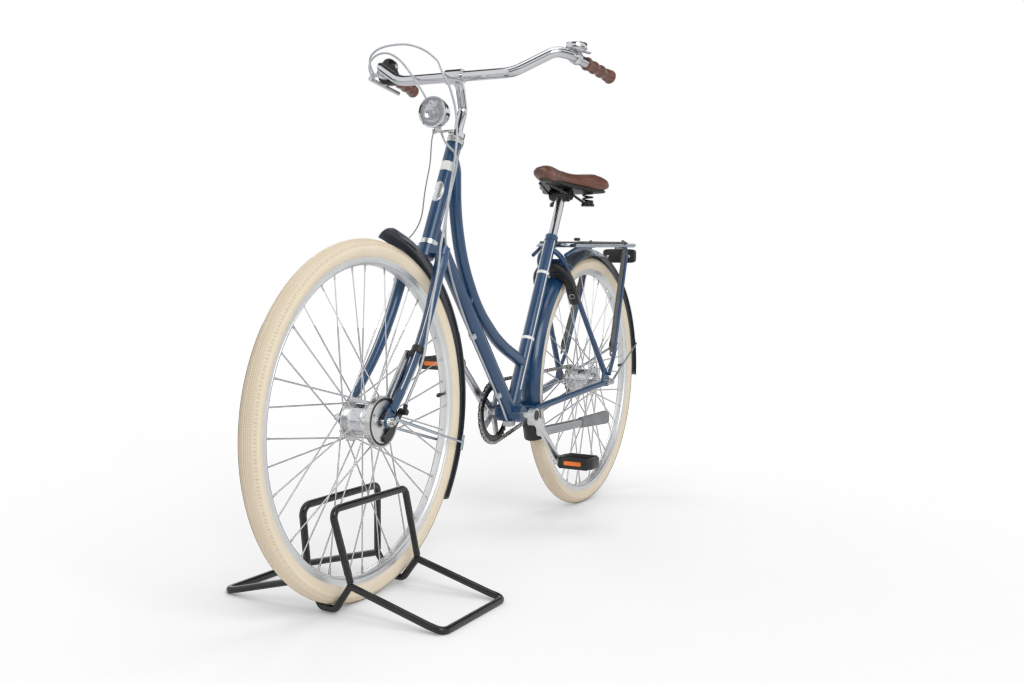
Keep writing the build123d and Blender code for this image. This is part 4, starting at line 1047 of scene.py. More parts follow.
for side, word in SIDES:
    foot = post_high + np.array([side * 0.047, 0.072, -0.016])
    path = helix(foot, 0.041, 0.0133, SPRING_TURNS, SPRING_WIRE)
    coil = add_bent(
        "saddle_spring_" + word, path, circle(SPRING_WIRE, 10), (0, 0, 1), "frame",
        black_gloss
    )
    cup = mm((0, 0), (0, 15.5), (3, 16.2), (3, 6), (6, 5), (6, 0))
    add_turned(
        "spring_cup_" + word, cup, foot - [0, 0, 0.0015], (0, 0, 1), "frame",
        dark_metal, 32
    )
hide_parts("saddle_springs")
print("spring wire turns:", SPRING_TURNS)

# %% [markdown]
# ## Grips
# The grips are moulded vinyl sleeves: an end disc, finger swells and a collar. A turned shape
# does it, with the radius a sum of soft waves along the bar.

# %% Grips
bar_centre = head_high + steer_up * 0.1333 - steer_back * 0.061
bar_corners = {
    side: bar_centre + np.array(
        [
            (side * 0.140, 0, 0), (side * 0.222, 0.038, 0.046), (side * 0.240, 0.070, 0.044),
            (side * 0.262, 0.246, 0.027)
        ]
    )
    for side in (-1, 1)
}


def along_grip(distance, side):
    """A point on the bar's last straight run, measured forward from its end."""
    end, corner = bar_corners[side][3], bar_corners[side][2]
    return end + unit(corner - end) * distance


def grip_profile(count=90):
    """Radius along the grip, from its rolled end: finger swells, then a collar."""
    s = np.linspace(0, 0.116, count)
    swell_wave = 0.0013 * np.cos(2 * pi * (s - 0.020) / 0.030) * ((s > 0.012) & (s < 0.098))
    flange = 0.0030 * hump(s, 0.005, 0.0038) + 0.0022 * hump(s, 0.110, 0.003)
    body = 0.0127 + swell_wave + flange
    rounding = np.sqrt(np.clip(1 - ((0.004 - s) / 0.004).clip(0) ** 2, 0, 1))
    return np.stack([s, body * np.maximum(rounding, 0.02)], -1)


for side, word in SIDES:
    way = unit(along_grip(0.01, side) - along_grip(0, side))
    grip = add_turned(
        "grip_" + word, grip_profile(), along_grip(-0.004, side), way, "front_end",
        grip_vinyl, 48
    )
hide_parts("grips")
print("grips from", np.round(along_grip(-0.004, 1), 3))

# %% [markdown]
# ## The headlamp
# A dynamo lamp has a chromed shell, a clear lens in a ring, and behind the lens a bright dish with
# a dark star round the bulb. The shell, the ring, the dish and the lens are all turned about the
# lamp's own axis, which points straight ahead.

# %% Headlamp
lamp_face = np.array([0, front_axle[1] + 0.229, 0.975])
ahead = np.array([0, -1.0, 0])
shell_profile = mm(
    (0, 29), (1, 32.5), (0, 32.8), (-3.5, 33), (-5.5, 32.2), (-6.5, 31.8), (-12, 31.6), (-20, 30.5),
    (-28, 27.8), (-35, 23.2), (-40, 16.5), (-41.7, 8), (-42, 0), (-40, 0), (-39.5, 8), (-38, 15.5),
    (-33, 21.8), (-26, 26), (-12, 28.5)
)
lamp_shell = add_turned(
    "lamp_shell", shell_profile, lamp_face, ahead, "front_end", chrome, 72, True, 30
)
dish_profile = mm(
    (-3, 28.2), (-6, 28), (-12, 24), (-17, 17.5), (-19.5, 10), (-20.5, 0.3), (-22.5, 0.3),
    (-20, 18), (-13, 26), (-5, 28.8)
)
add_turned(
    "lamp_dish", dish_profile, lamp_face, ahead, "front_end", chrome, 72, True, 30
)
print("lamp face at", np.round(lamp_face, 3))

# %% [markdown]
# The lens is a thin clear moulding with fine ribs, and behind it a dark four-armed star holds the
# bulb in the middle of the dish.

# %% Lens, star and bulb
def clear_finish():
    """Thin clear moulding with a fine ribbed prism: mostly open, with a sharp gloss on it."""
    made = Finish("clear lens", (0.80, 0.84, 0.88), 0.05, Alpha=0.22)
    x, _, z = made.split(made.place())
    return made.bump((x * 1500.0).sine() * (z * 500.0).sine(), 0.0003, 0.25).material


clear_lens = clear_finish()
lens_profile = mm(
    (1.6, 0), (1.4, 12), (0.6, 22), (-0.8, 28.8), (-2.8, 28.8), (-1.2, 22), (-0.4, 12), (-0.2, 0)
)
add_turned("lamp_lens", lens_profile, lamp_face, ahead, "front_end", clear_lens, 72, False, 30)
star_turns = even_turns(64)
star = polar(0.0082 + 0.0058 * np.tanh(3 * np.cos(star_turns * 4)), star_turns)
add_plate(
    "lamp_star", star, lamp_face + [0, 0.0135, 0], (1, 0, 0), (0, 0, 1), 0.0035, "front_end",
    dark_metal
)
bulb_profile = mm((0, 0), (0, 4.5), (4, 4.5), (6.5, 3), (7.2, 0))
add_turned(
    "lamp_bulb", bulb_profile, lamp_face + [0, 0.0130, 0], ahead, "front_end", chrome, 24
)
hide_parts("headlamp")
print("lens and bulb ready")

# %% [markdown]
# The lamp hangs on a bent strip from a ring round the head tube's top, with a screw to tilt it.
# The strip is a flat rounded section carried along a short curve.

# %% Lamp bracket
bracket_path = smooth_path(
    [
        lamp_face + [0, 0.026, -0.020], lamp_face + [0, 0.034, -0.036],
        head_low + steer_up * 0.252 - steer_back * 0.030,
        head_low + steer_up * 0.247 - steer_back * 0.014
    ],
    10
)
add_bent(
    "lamp_bracket", bracket_path, rounded(0.013, 0.0045), (0, -1, 0.3), "front_end", zinc
)
ring_profile = mm((-3.5, 13), (-3.5, 19.5), (-2.5, 20), (2.5, 20), (3.5, 19.5), (3.5, 13))
add_turned(
    "lamp_ring", ring_profile, head_low + steer_up * 0.245, steer_up, "front_end", zinc,
    48, True
)
knob_profile = mm((0, 0), (0, 3.2), (4, 3.6), (4, 5), (9, 5.5), (10.5, 4), (10.5, 0))
add_turned(
    "lamp_screw", knob_profile, lamp_face + [-0.008, 0.034, -0.036], (-1, 0, 0), "front_end",
    zinc, 20
)
print("lamp pieces done")

# %% [markdown]
# ## Bell and shifter
# The bell is a chromed cap on a lighter bowl, both spun from sheet, on a clamp round the bar with
# a thumb lever at its side.

# %% Bell
bell_seat = along_grip(0.154, 1)
bell_profile = mm(
    (10.5, 0), (10.5, 10), (12, 17), (15, 21.5), (17.2, 22.2), (17.6, 24.6), (19, 25), (27, 24.8),
    (29.3, 23.6), (30.3, 20.5), (30.7, 12), (31, 0)
)
bell_cap = add_turned(
    "bell_cap", bell_profile, bell_seat, (0, 0, 1), "front_end", chrome, 56
)
grip_way = unit(along_grip(0.01, 1) - along_grip(0, 1))
band_profile = mm((-8, 11.2), (-8, 13.8), (-6.5, 14.6), (6.5, 14.6), (8, 13.8), (8, 11.2))
add_turned(
    "bell_clamp", band_profile, bell_seat, grip_way, "front_end", aluminium, 40, True
)
stalk_profile = mm((10, 0), (10, 7.5), (13.5, 6.5), (16.5, 6.5), (16.5, 0))
add_turned("bell_stalk", stalk_profile, bell_seat, (0, 0, 1), "front_end", aluminium, 24)
thumb_path = smooth_path(
    [
        bell_seat + [0.006, -0.006, 0.013], bell_seat + [0.016, 0.010, 0.013],
        bell_seat + [0.024, 0.022, 0.012]
    ]
)
add_bent("bell_thumb", thumb_path, rounded(0.009, 0.0035), (0, 0, 1), "front_end", chrome)
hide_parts("bell")
print("bell at", np.round(bell_seat, 3))

# %% [markdown]
# The shifter is a ribbed rubber sleeve that twists beside a moulded pod. The pod is turned, the
# ribs are a cosine on the sleeve's radius, and a small dial box stands on top.

# %% Twist shifter
right_way = unit(along_grip(0.01, -1) - along_grip(0, -1))
twist = even_turns(120)
twist_rows = mm((113, 13), (113.5, 17.5), (116, 19), (128, 19.6), (129.5, 19), (130, 13))
ribbed_rows = twist_rows[None, :, 1] > 0.0180
twist_radius = twist_rows[None, :, 1] + 0.0007 * np.cos(twist * 20)[:, None] * ribbed_rows
first, second = square_pair(right_way)
twist_out = np.cos(twist)[:, None, None] * first + np.sin(twist)[:, None, None] * second
twist_axis = along_grip(0, -1) + twist_rows[None, :, 0, None] * right_way
twist_points = twist_axis + twist_radius[..., None] * twist_out
add_piece(
    "shifter_twist", twist_points, grid_faces(120, 6, True, True), "front_end",
    black_rubber
)
pod_profile = mm(
    (130.5, 13), (130.5, 21.5), (132, 23.8), (135, 24.6), (143, 24.6), (146.5, 23.2), (148, 20.5),
    (148, 13)
)
shifter = add_turned(
    "shifter_pod", pod_profile, along_grip(0, -1), right_way, "front_end",
    black_plastic, 64, True
)
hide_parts("gear_shifter")
dial_profile = mm(
    (117, 0), (117, 12), (119, 15.5), (122.5, 16.8), (140, 16.8), (143.5, 15.5), (145.5, 12),
    (145.5, 0)
)
add_turned(
    "shifter_window", dial_profile, along_grip(0, -1) + [0, 0, 0.023], right_way, "front_end",
    black_gloss, 48
)
window_ring = mm((125, 16.5), (125, 17.1), (137, 17.1), (137, 16.5))
add_turned(
    "shifter_band", window_ring, along_grip(0, -1) + [0, 0, 0.023], right_way, "front_end",
    aluminium, 48, True
)
print("shifter at", np.round(along_grip(0.139, -1), 3))

# %% [markdown]
# ## Mudguards
# A mudguard is strip steel rolled to a crowned section. The section is an arc with three shallow
# creases, and its thickness comes from a Solidify modifier.

# %% Mudguards
GUARD_WIDTH, GUARD_CROWN, GUARD_WALL = 0.0535, 0.0198, 0.0014


def guard_sheet(centre, radius, start, end, width, crown=GUARD_CROWN, rows=120, columns=25):
    """Across, an arc 20 mm deep with three creases; along, a turn from start to end degrees."""
    s = np.linspace(-1, 1, columns)
    chord_radius = ((width / 2) ** 2 + crown**2) / (2 * crown)
    reach = np.arcsin(min(1.0, (width / 2) / chord_radius))
    x = chord_radius * np.sin(s * reach)
    out = radius - chord_radius * (1 - np.cos(s * reach))
    out = out - 0.0006 * (hump(np.abs(s), 0.80, 0.05) + hump(s, 0, 0.07))
    turn = np.radians(np.linspace(start, end, rows))[:, None]
    return centre + np.insert(polar(out, turn), 0, x, axis=-1)


def add_guard(
    name, centre, radius, start, end, body, finish, width=GUARD_WIDTH
):
    """A crowned sheet with its wall to the inside."""
    points = guard_sheet(centre, radius, start, end, width)
    rows, columns = points.shape[:2]
    made = add_piece(
        name, points, grid_faces(rows, columns, ring=False), body, finish, 60, turn_out=False
    )
    facing = made.data.polygons[len(made.data.polygons) // 2]
    outward = np.array(facing.center) - centre
    if np.dot(outward, facing.normal) < 0:
        made.data.flip_normals()
    wall = made.modifiers.new("sheet", "SOLIDIFY")
    wall.thickness = GUARD_WALL
    wall.offset = -1
    return made


front_guard_centre = front_axle + [0, -0.010, 0.009]
rear_guard_centre = rear_axle + [0, 0.003, 0]
front_guard = add_guard(
    "front_guard_sheet", front_guard_centre, 0.3768, -34.9, 76.2, "front_end", slate_paint
)
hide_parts("front_mudguard")
rear_lower = add_guard(
    "rear_guard_front", rear_guard_centre, 0.3718, 118.0, 186.9, "frame", blue_paint,
)
# Painted shade: the rear guard's back and crown are slate, darker than its blue lacquered front.
rear_shaded_back = add_guard(
    "rear_guard_back_painted_shade", rear_guard_centre, 0.3718, -1.4, 117.9, "frame", slate_paint
)
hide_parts("rear_mudguard")
# Painted highlight: a pale band across the crown of the rear guard paints the white room mirrored in
# it.
add_guard(
    "rear_guard_painted_highlight", rear_guard_centre, 0.3722, 84.0, 90.5, "frame", stay_steel_and_painted_sheen, 0.0538,
)
print("guards:", front_guard.name, rear_lower.name, rear_shaded_back.name)

# %% [markdown]
# The front guard's stays are screwed to small tees riveted on its edge. A tee is a short bent
# strip with a screw head on it.

# %% Stay tees
def about(centre, radius, turn, side=0.0):
    """A point at a radius and a turn in degrees about a centre, some way to the side."""
    turn = radians(turn)
    return np.array([side, centre[1] + radius * cos(turn), centre[2] + radius * sin(turn)])


for side, word in SIDES:
    tee = about(front_guard_centre, 0.3555, -15, side * 0.0285)
    wide = [about(front_guard_centre, 0.3578, turn, side * 0.0283) for turn in (-17.6, -15, -12.4)]
    add_bent(
        "guard_tee_" + word, wide, rounded(0.0022, 0.0085), (0, 1, -0.3), "front_end",
        stay_steel_and_painted_sheen
    )
    screw = small_turned(mm((0, 0), (0, 3), (1.8, 2.8), (2.6, 1.6), (2.6, 0)), 14)
    sides = np.array([[[side, 0, 0], [0, side, 0], [0, 0, 1.0]]])
    points, faces = copies(*screw, [tee + [side * 0.001, 0, 0]], sides)
    add_piece("guard_tee_screw_" + word, points, faces, "front_end", zinc)
print("stay tees at", np.round(tee, 3))

# %% [markdown]
# ## Painted lines
# The pale lines on the tubes are brush-wide ribbons of paint. Here each one is a very thin band
# that follows the tube: its section is a short arc of the tube's own circle, a tenth of a
# millimetre proud of it.

# %% Lines on straight tubes
HEAD_TUBE_RADIUS, SEAT_TUBE_RADIUS = 0.017, 0.0159


def line_section(radius, width, proud=0.00012):
    """A closed thin arc: outside a little proud of the tube, inside a little below its skin."""
    half = width / 2 / radius
    turns = np.linspace(-half, half, 7)
    outer = (radius + proud) * np.stack([np.sin(turns), np.cos(turns)], -1)
    inner = (radius - 0.0006) * np.stack([np.sin(turns[::-1]), np.cos(turns[::-1])], -1)
    return np.concatenate([outer, inner])


def add_line(name, path, radii, width, toward, body):
    """A painted line on the side of a tube that faces toward; radii are the tube's own."""
    radii = np.broadcast_to(np.asarray(radii, float), (len(path),))
    sections = np.stack([line_section(radius, width) for radius in radii])
    return add_bent(name, path, sections, toward, body, ivory_paint, 50)


seat_line = np.linspace(bracket + seat_up * 0.062, bracket + seat_up * 0.482, 20)
for ending, side in (("", 1), ("_right", -1)):
    toward = (side * 0.92, -0.40, 0)
    add_line("seat_tube_line" + ending, seat_line, SEAT_TUBE_RADIUS, 0.0030, toward, "frame")
head_line = np.linspace(head_low + steer_up * 0.050, head_low + steer_up * 0.222, 12)
for side, word in SIDES:
    toward = (side, 0.05, 0)
    add_line("head_tube_line_" + word, head_line, HEAD_TUBE_RADIUS, 0.0016, toward, "frame")
print("lines on the head tube and seat tube")

# %% [markdown]
# The fork blades carry two lines each, outside and in front. The lines follow the blade: straight
# runs joined by an arc, with a radius that shrinks toward the tip.

# %% Lines on the fork
def filleted(points, bends, steps=18):
    """A path of straight runs joined by arcs of the given bend radii, as even short steps."""
    points = np.asarray(points, float)
    path = [points[0]]
    for before, corner, after, bend in zip(points[:-2], points[1:-1], points[2:], bends):
        into, out = unit(corner - before), unit(after - corner)
        half = np.arccos(np.clip(np.dot(into, out), -1, 1)) / 2
        reach = bend * tan(half)
        t = np.linspace(0, 1, steps)[:, None]
        centre = corner + unit(out - into) * bend / cos(half)
        arc = (corner - into * reach) * (1 - t) + (corner + out * reach) * t
        path.extend(centre + unit(arc - centre) * bend)
    path.append(points[-1])
    path = np.array(path)
    length = np.concatenate([[0], np.cumsum(np.linalg.norm(np.diff(path, axis=0), axis=1))])
    even = np.linspace(0, length[-1], 60)
    return np.stack([np.interp(even, length, path[:, axis]) for axis in range(3)], -1)


def on_steering(height, back=0.0, side=0.0):
    """A point by its height along the steering axis, its distance behind it and its side."""
    return head_low + steer_up * height + steer_back * back + left_way * side


BLADE_RADIUS, TIP_RADIUS, BLADE_BEND = 0.013, 0.0075, 0.65
for side, word in SIDES:
    tip = front_axle + left_way * side * 0.0525 + steer_up * 0.022 + steer_back * 0.004
    straight = [on_steering(-0.024, 0, side * 0.042), on_steering(-0.250, 0, side * 0.047)]
    blade = filleted([*straight, tip], [BLADE_BEND])
    radii = BLADE_RADIUS + (TIP_RADIUS - BLADE_RADIUS) * np.linspace(0, 1, len(blade))
    blade, radii = blade[11:52], radii[11:52]
    for place, width, toward in (
        ("outer", 0.0022, (side, 0.30, 0)), ("front", 0.0016, (side * 0.30, -1.0, 0))
    ):
        add_line("fork_line_%s_%s" % (place, word), blade, radii, width, toward, "front_end")
print("lines on the fork blades")

# %% [markdown]
# The head tube carries a pale band and a blank oval badge with a raised rim, and the seat tube two
# narrow bands. The badge is a grid wrapped on the tube: its own x becomes an angle round the tube
# and its y a height along it.

# %% Bands and badge
band_ring = mm((-11, 16.5), (-11, 17.16), (11, 17.16), (11, 16.5))
add_turned(
    "head_band", band_ring, on_steering(0.176), steer_up, "frame", ivory_paint, 64,
    True
)
seat_ring = mm((-4, 15.4), (-4, 16.06), (4, 16.06), (4, 15.4))
for height in (0.200, 0.385):
    add_turned(
        "seat_band_%d" % (height * 1000), seat_ring, bracket + seat_up * height, seat_up, "frame",
        ivory_paint, 64, True
    )


def badge_surface(width, height, rows=24, columns=64):
    """Polar grid on the tube: share r from the middle, raised near 0.9, down at the edge."""
    r = np.linspace(0.001, 1, rows)[:, None]
    turn = even_turns(columns)[None, :]
    raised = 0.0007 + 0.0005 * hump(r, 0.88, 0.06) - 0.0016 * np.clip((r - 0.95) / 0.05, 0, 1)
    across = r * width / 2 * np.cos(turn) / HEAD_TUBE_RADIUS
    along = r * height / 2 * np.sin(turn) + 0 * across
    out = HEAD_TUBE_RADIUS + raised + 0 * across
    forward, sideways = (out * np.cos(across))[..., None], (out * np.sin(across))[..., None]
    middle_line = on_steering(0.112) + along[..., None] * steer_up
    return middle_line + forward * -steer_back + sideways * left_way


badge_points = badge_surface(0.030, 0.050)
add_tube("head_badge", badge_points, "frame", aluminium, 40)
print("badge", badge_points.shape)

# %% [markdown]
# ## Pedals
# A city pedal is a black moulded frame round a hollow, with ribbed rubber treads and a reflector
# in each long side. The frame is a rounded loop carried round the hollow; treads and reflectors
# are small plates on it.

# %% Pedals
pedal_places = {1: np.array([0.078, 0.18214, 0.17567]), -1: np.array([-0.078, -0.04974, 0.42433])}
for side, word in SIDES[::-1]:
    centre = pedal_places[side] + [side * (0.0075 + 0.049), 0, 0]
    turns = even_turns(96)
    loop_x = signed_power(np.cos(turns), 0.42) * 0.0415
    loop_y = signed_power(np.sin(turns), 0.42) * 0.0305
    loop = centre + np.column_stack([loop_x, loop_y, 0 * turns])
    outline = rounded(0.0262, 0.0145, 5.0, 20)
    way = unit(np.roll(loop, -1, 0) - np.roll(loop, 1, 0))
    outward = np.cross(way, (0, 0, 1))
    grid = loop[:, None] + outline[:, 1:] * outward[:, None]
    grid = grid + outline[:, :1] * np.array([0, 0, 1.0])
    cage = add_piece(
        "pedal_cage_" + word, grid, grid_faces(96, 20, True, True), word + "_pedal",
        black_plastic, 40
    )
    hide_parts(word + "_pedal")
    sleeve = mm((-44, 0), (-44, 8.5), (-20, 7.5), (20, 7.5), (44, 8.5), (48, 6), (48.5, 0))
    add_turned(
        "pedal_sleeve_" + word, sleeve, centre, (side, 0, 0), word + "_pedal",
        black_plastic, 32
    )
    bar_count = 22
    stripes = np.linspace(-0.036, 0.036, bar_count)
    bar, bar_faces = plate(rounded(0.0018, 0.0115, 6, 8), (0, 0, 0), (1, 0, 0), (0, 1, 0), 0.0280)
    places = [centre + [x, y, -0.0140] for y in (-0.0305, 0.0305) for x in stripes]
    frames = np.tile(np.eye(3), (len(places), 1, 1))
    points, faces = copies(bar, bar_faces, places, frames)
    add_piece(
        "pedal_ribs_" + word, points, faces, word + "_pedal", black_rubber, 30
    )
    for edge, place_word in ((-1, "front"), (1, "back")):
        face_at = centre + [0, edge * 0.0372, 0]
        panel = rounded(0.046, 0.0102, 8, 32)
        add_plate(
            "pedal_reflector_%s_%s" % (word, place_word), panel, face_at, (1, 0, 0), (0, 0, 1),
            0.0014, word + "_pedal", orange_lens, 0.0003
        )
print("pedals at", pedal_places[1])

# %% [markdown]
# ## Cables
# A sheathed cable is stiff, so it keeps one smooth line from stop to stop. A NURBS curve of
# order three, led by chosen points, gives that line, and its bevel gives the round sheath.
# The gear cable crosses the steering axis, so it is made a mesh and baked in place, hung on neither
# body.

# %% Cable runs
def add_cable(name, points, radius, finish):
    """A round sheath on a smooth open NURBS line through about the given points."""
    curve = bpy.data.curves.new(name, "CURVE")
    curve.dimensions = "3D"
    curve.bevel_depth = radius
    curve.bevel_resolution = 3
    curve.resolution_u = 6
    curve.use_fill_caps = True
    line = curve.splines.new("NURBS")
    line.points.add(len(points) - 1)
    for place, point in zip(line.points, points):
        place.co = (*(np.asarray(point) * MM), 1)
    line.order_u = 3
    line.use_endpoint_u = True
    drawn = bpy.data.objects.new(name + "_line", curve)
    bpy.context.scene.collection.objects.link(drawn)
    mesh = bpy.data.meshes.new_from_object(
        drawn.evaluated_get(bpy.context.evaluated_depsgraph_get())
    )
    bpy.data.objects.remove(drawn)
    mesh.materials.clear()
    mesh.materials.append(finish)
    mesh.polygons.foreach_set("use_smooth", np.ones(len(mesh.polygons), bool))
    made = bpy.data.objects.new(name, mesh)
    bpy.context.scene.collection.objects.link(made)
    return made


def steering_mm(height, back=0.0, side=0.0):
    """The same place as on_steering, in millimetres."""
    return tuple(on_steering(height * MM, back * MM, side * MM) / MM)


SHEATH_RADIUS, WIRE_RADIUS = 0.0024, 0.0013
print("cable maker ready")

# %% [markdown]
# The brake cable leaves the lever in a high arc, drops behind the lamp and runs down the left
# blade to the drum. The lamp wire hangs from the lamp and follows the right blade to the hub.

# %% Brake cable and lamp wire
brake_points = [
    (-262, -163, 1100), (-267, -174, 1119), (-262, -181, 1138), (-246, -182, 1151),
    (-227, -178, 1159), (-208, -171, 1163), (-180, -163, 1165), (-150, -163, 1158),
    (-120, -170, 1145), (-90, -184, 1127), (-60, -208, 1106), (-35, -243, 1087), (-14, -263, 1066),
    (2, -266, 1043), (11, -263, 1015), (18, -262, 988), (22, -263, 956), (24, -265, 924),
    (25, -273, 891), (25, -282, 852), (25, -294, 815), (28, -310, 772), (36, -334, 730),
    (44, -361, 690), (50, -373, 660), (53, -390, 623), (55, -405, 587), (58.5, -419, 554),
    (62, -435, 521), (64, -445, 487), (63, -457, 453), (59, -477, 417), (57.5, -491, 397),
    (56.5, -503, 379)
]
brake_line = add_cable("brake_cable_sheath", brake_points, SHEATH_RADIUS, cable_grey)
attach(brake_line, "front_end")
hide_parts("brake_cable")
wire_points = [
    (0, -314, 948), (-1, -325, 930), (-2, -328, 902), (-3, -328, 872), (-6, -332, 844),
    (-9, -337, 815), (-12, -338, 788), (-17, -334, 762), (-26, -334, 738), (-36, -343, 717),
    (-48, -353, 702), (-58, -361, 683), steering_mm(-60, 0, -58), steering_mm(-105, 1, -58.5),
    steering_mm(-150, 0, -59), steering_mm(-195, -2, -59.5), steering_mm(-238, -8, -60),
    (-61.5, -471, 447), (-63, -496, 420), (-61, -503, 402), (-51, -508, 390), (-42, -521, 386),
    (-41, -539, 383), (-41, -551, 372)
]
lamp_line = add_cable("lamp_wire_sheath", wire_points, WIRE_RADIUS, wire_grey)
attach(lamp_line, "front_end")
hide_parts("lamp_wire")
print("brake cable and lamp wire drawn")

# %% [markdown]
# The gear cable loops over the bar like the brake cable, then lies under the down tube and the
# chain stay to the rear hub.

# %% Gear cable
down_run = np.array([0, 0.669, -0.743])
down_out = np.array([0, -0.743, -0.669])
down_start = np.array([0, -321.7, 730.9])
shell = bracket / MM


def on_down(distance, out):
    """A point below the down tube, in millimetres."""
    return tuple(down_start + down_run * distance + down_out * out)


stay_start = shell + [-35, 104, 10]
stay_end = rear_axle / MM + [-70, -34, -4]
gear_points = [
    (-246, -126, 1083), (-247, -147, 1076), (-251, -168, 1081), (-256, -186, 1096),
    (-256, -194, 1115), (-246, -194, 1132), (-228, -190, 1142), (-208, -187, 1142),
    (-188, -190, 1133), (-158, -207, 1115), (-124, -237, 1092), (-83, -264, 1057),
    (-58, -268, 1024), (-36, -266, 988), (-20, -265, 957), (-9, -270, 930), (6, -274, 912),
    (20, -265, 898), (24, -261, 878), (22, -268, 850), (20.5, -280, 817), (20, -289, 790),
    (20.5, -297, 763), (21, -302, 735), (21, -300, 706), (18, -288, 678), (13, -269, 648),
    (8, -240, 611), *[on_down(distance, 21.5) for distance in (260, 315, 370, 425, 480, 530)],
    *[
        tuple(shell + step)
        for step in (
            (0, -17, -21), (-4, 4, -25), (-19, 24, -20), (-31, 45, -12), (-34.5, 72, -6),
            (-34.5, 105, -2.2)
        )
    ],
    *[
        tuple(stay_start * (1 - share) + stay_end * share + [0, 2.0, -11.4])
        for share in (0.15, 0.32, 0.48, 0.64, 0.8)
    ],
    *[tuple(rear_axle / MM + step) for step in ((-77, -47, -19), (-79, -22, -9), (-77, -5, -1))]
]
gear_line = add_cable("gear_cable_sheath", gear_points, SHEATH_RADIUS, cable_grey)
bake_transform(gear_line)
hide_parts("gear_cable")
print("gear cable drawn:", len(gear_line.data.polygons), "faces")

# %% [markdown]
# ## Rack straps, knobs and rear lamp
# The luggage straps are ribbed rubber bands hooked near the hub, pulled over the rack's end and
# forward along the deck. A band's section has shallow grooves along it, so it is one ribbed
# section carried along its line.

# %% Rack deck
rack_rear = rear_axle[1] + 0.249
rack_front = bracket[1] + (0.723 - bracket[2]) / tan(seat_angle) + 0.0222 / sin(seat_angle)


def on_rack(share, side=0.0, lift=0.0):
    """A point on the sloping deck: share 0 in front and 1 at the rear."""
    return np.array(
        [side, rack_front + share * (rack_rear - rack_front), 0.742 - 0.019 * (1 - share) + lift]
    )


def ribbed(width, thickness, ribs=5, count=60):
    """A flat band whose two faces rise and fall ribs times across its width."""
    outline = rounded(width, thickness, 7, count)
    wave = 1 + 0.16 * np.cos(2 * pi * ribs * outline[:, 0] / width)
    outline[:, 1] *= wave
    return outline


print("rack deck from", round(float(rack_front), 3), "to", round(float(rack_rear), 3))

# %% [markdown]
# Each side has one strap: up from its hook near the hub, over the rail in a short wrap, and
# forward along the deck.

# %% Straps
STRAP_SIDE, STRAP_TOP = 0.056, 0.784
strap_rubber = plastic_finish("strap rubber", (0.085, 0.080, 0.074), 0.5, 1200.0)


def add_strap(part, path, section, reference, finish=strap_rubber):
    """One run or fitting of a strap."""
    return add_bent("strap_" + part, path, section, reference, "frame", finish)


for side, word in SIDES:
    foot = rear_axle + [side * 0.0745, 0.012, 0.086]
    top = on_rack(STRAP_TOP, side * STRAP_SIDE, -0.010)
    steps = np.linspace(0, 1, 30)[:, None]
    way = unit(top - foot)
    path = foot * (1 - steps) + top * steps
    add_strap(word, path, ribbed(0.0238, 0.0040), (side, 0, 0))
    ends = [on_rack(share, side * STRAP_SIDE, 0.0083) for share in (0.1, STRAP_TOP)]
    add_strap("flat_" + word, np.linspace(*ends, 30), ribbed(0.0158, 0.0036, 3), (0, 0, 1))
    over_rail = [
        top - way * 0.006, top + way * 0.004, on_rack(STRAP_TOP + 0.012, side * 0.0580, 0.0075),
        on_rack(STRAP_TOP - 0.012, side * STRAP_SIDE, 0.0090)
    ]
    lean_out = (side * 0.55, 0.35, 0.75)
    add_strap("wrap_" + word, smooth_path(over_rail), ribbed(0.0200, 0.0036), lean_out)
    hook = [
        foot + way * 0.006, foot - way * 0.008, foot - way * 0.016 + [side * 0.002, 0.004, 0],
        foot - way * 0.012 + [side * 0.004, 0.010, 0]
    ]
    add_strap("hook_" + word, smooth_path(hook), circle(0.0022, 12), (side, 0, 0), dark_metal)
    clip = np.array([foot + way * distance for distance in (0.010, 0.016, 0.022)])
    add_strap("clip_" + word, clip, rounded(0.0245, 0.0058, 6), (side, 0, 0), black_plastic)
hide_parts("rack_straps")
print("straps end at", np.round(on_rack(STRAP_TOP), 3))

# %% [markdown]
# Two black knobs sit at the front of the rack on its left. Each is one turned shape.

# %% Rack knobs
for index, (y, z) in enumerate(((0.322, 0.735), (0.296, 0.718))):
    knob = mm((0, 0), (0, 5.5), (2, 8.5), (6, 8.5), (8, 6), (8, 0))
    add_turned(
        "rack_knob_%d" % index, knob, (0.056, y, z), (0, 0, 1), "frame",
        black_plastic, 24
    )
print("rack knobs:", index + 1)

# %% [markdown]
# The rear lamp is a moulded black housing with a red lens toward the rear. Both are rounded boxes
# built as one loop carried backwards while it swells and shrinks.

# %% Rear lamp
def soft_box(centre, width, height, front, depths, shares):
    """Loops of a rounded rectangle along +Y, each with a distance from the front and a share."""
    outline = rounded(width, height, 6.0, 48)
    flat = [outline * share + [centre[0], centre[2]] for share in shares]
    return np.stack([np.insert(xz, 1, front + depth, axis=1) for xz, depth in zip(flat, depths)])


lamp_middle = np.array([0, 0, 0.710])
front = rack_rear - 0.004
housing = soft_box(
    lamp_middle, 0.104, 0.042, front, (0, 0.001, 0.003, 0.014, 0.0145), (0.94, 0.985, 1, 1, 0.97)
)
lamp_body = add_tube("rear_lamp_body", housing, "frame", black_plastic, 50)
lens = soft_box(
    lamp_middle, 0.099, 0.037, front + 0.0145, (0, 0.006, 0.010, 0.0114), (1, 1, 0.95, 0.84)
)
add_tube("rear_lamp_lens", lens, "frame", red_lens, 50)
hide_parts("rear_lamp")
for side, word in SIDES:
    bolt = mm((0, 0), (0, 4.2), (-2.2, 4), (-3.4, 2.2), (-3.4, 0))
    add_turned(
        "rear_lamp_bolt_" + word, bolt, (side * 0.034, front + 0.0004, 0.708), (0, 1, 0), "frame",
        zinc, 24
    )
hanger = np.array([(0, front + 0.004, height) for height in (0.728, 0.7335, 0.7365)])
add_bent(
    "rear_lamp_hanger", hanger, rounded(0.030, 0.004, 6), (0, 1, 0), "frame",
    stay_steel_and_painted_sheen
)
print("rear lamp at", np.round(lamp_middle, 3))

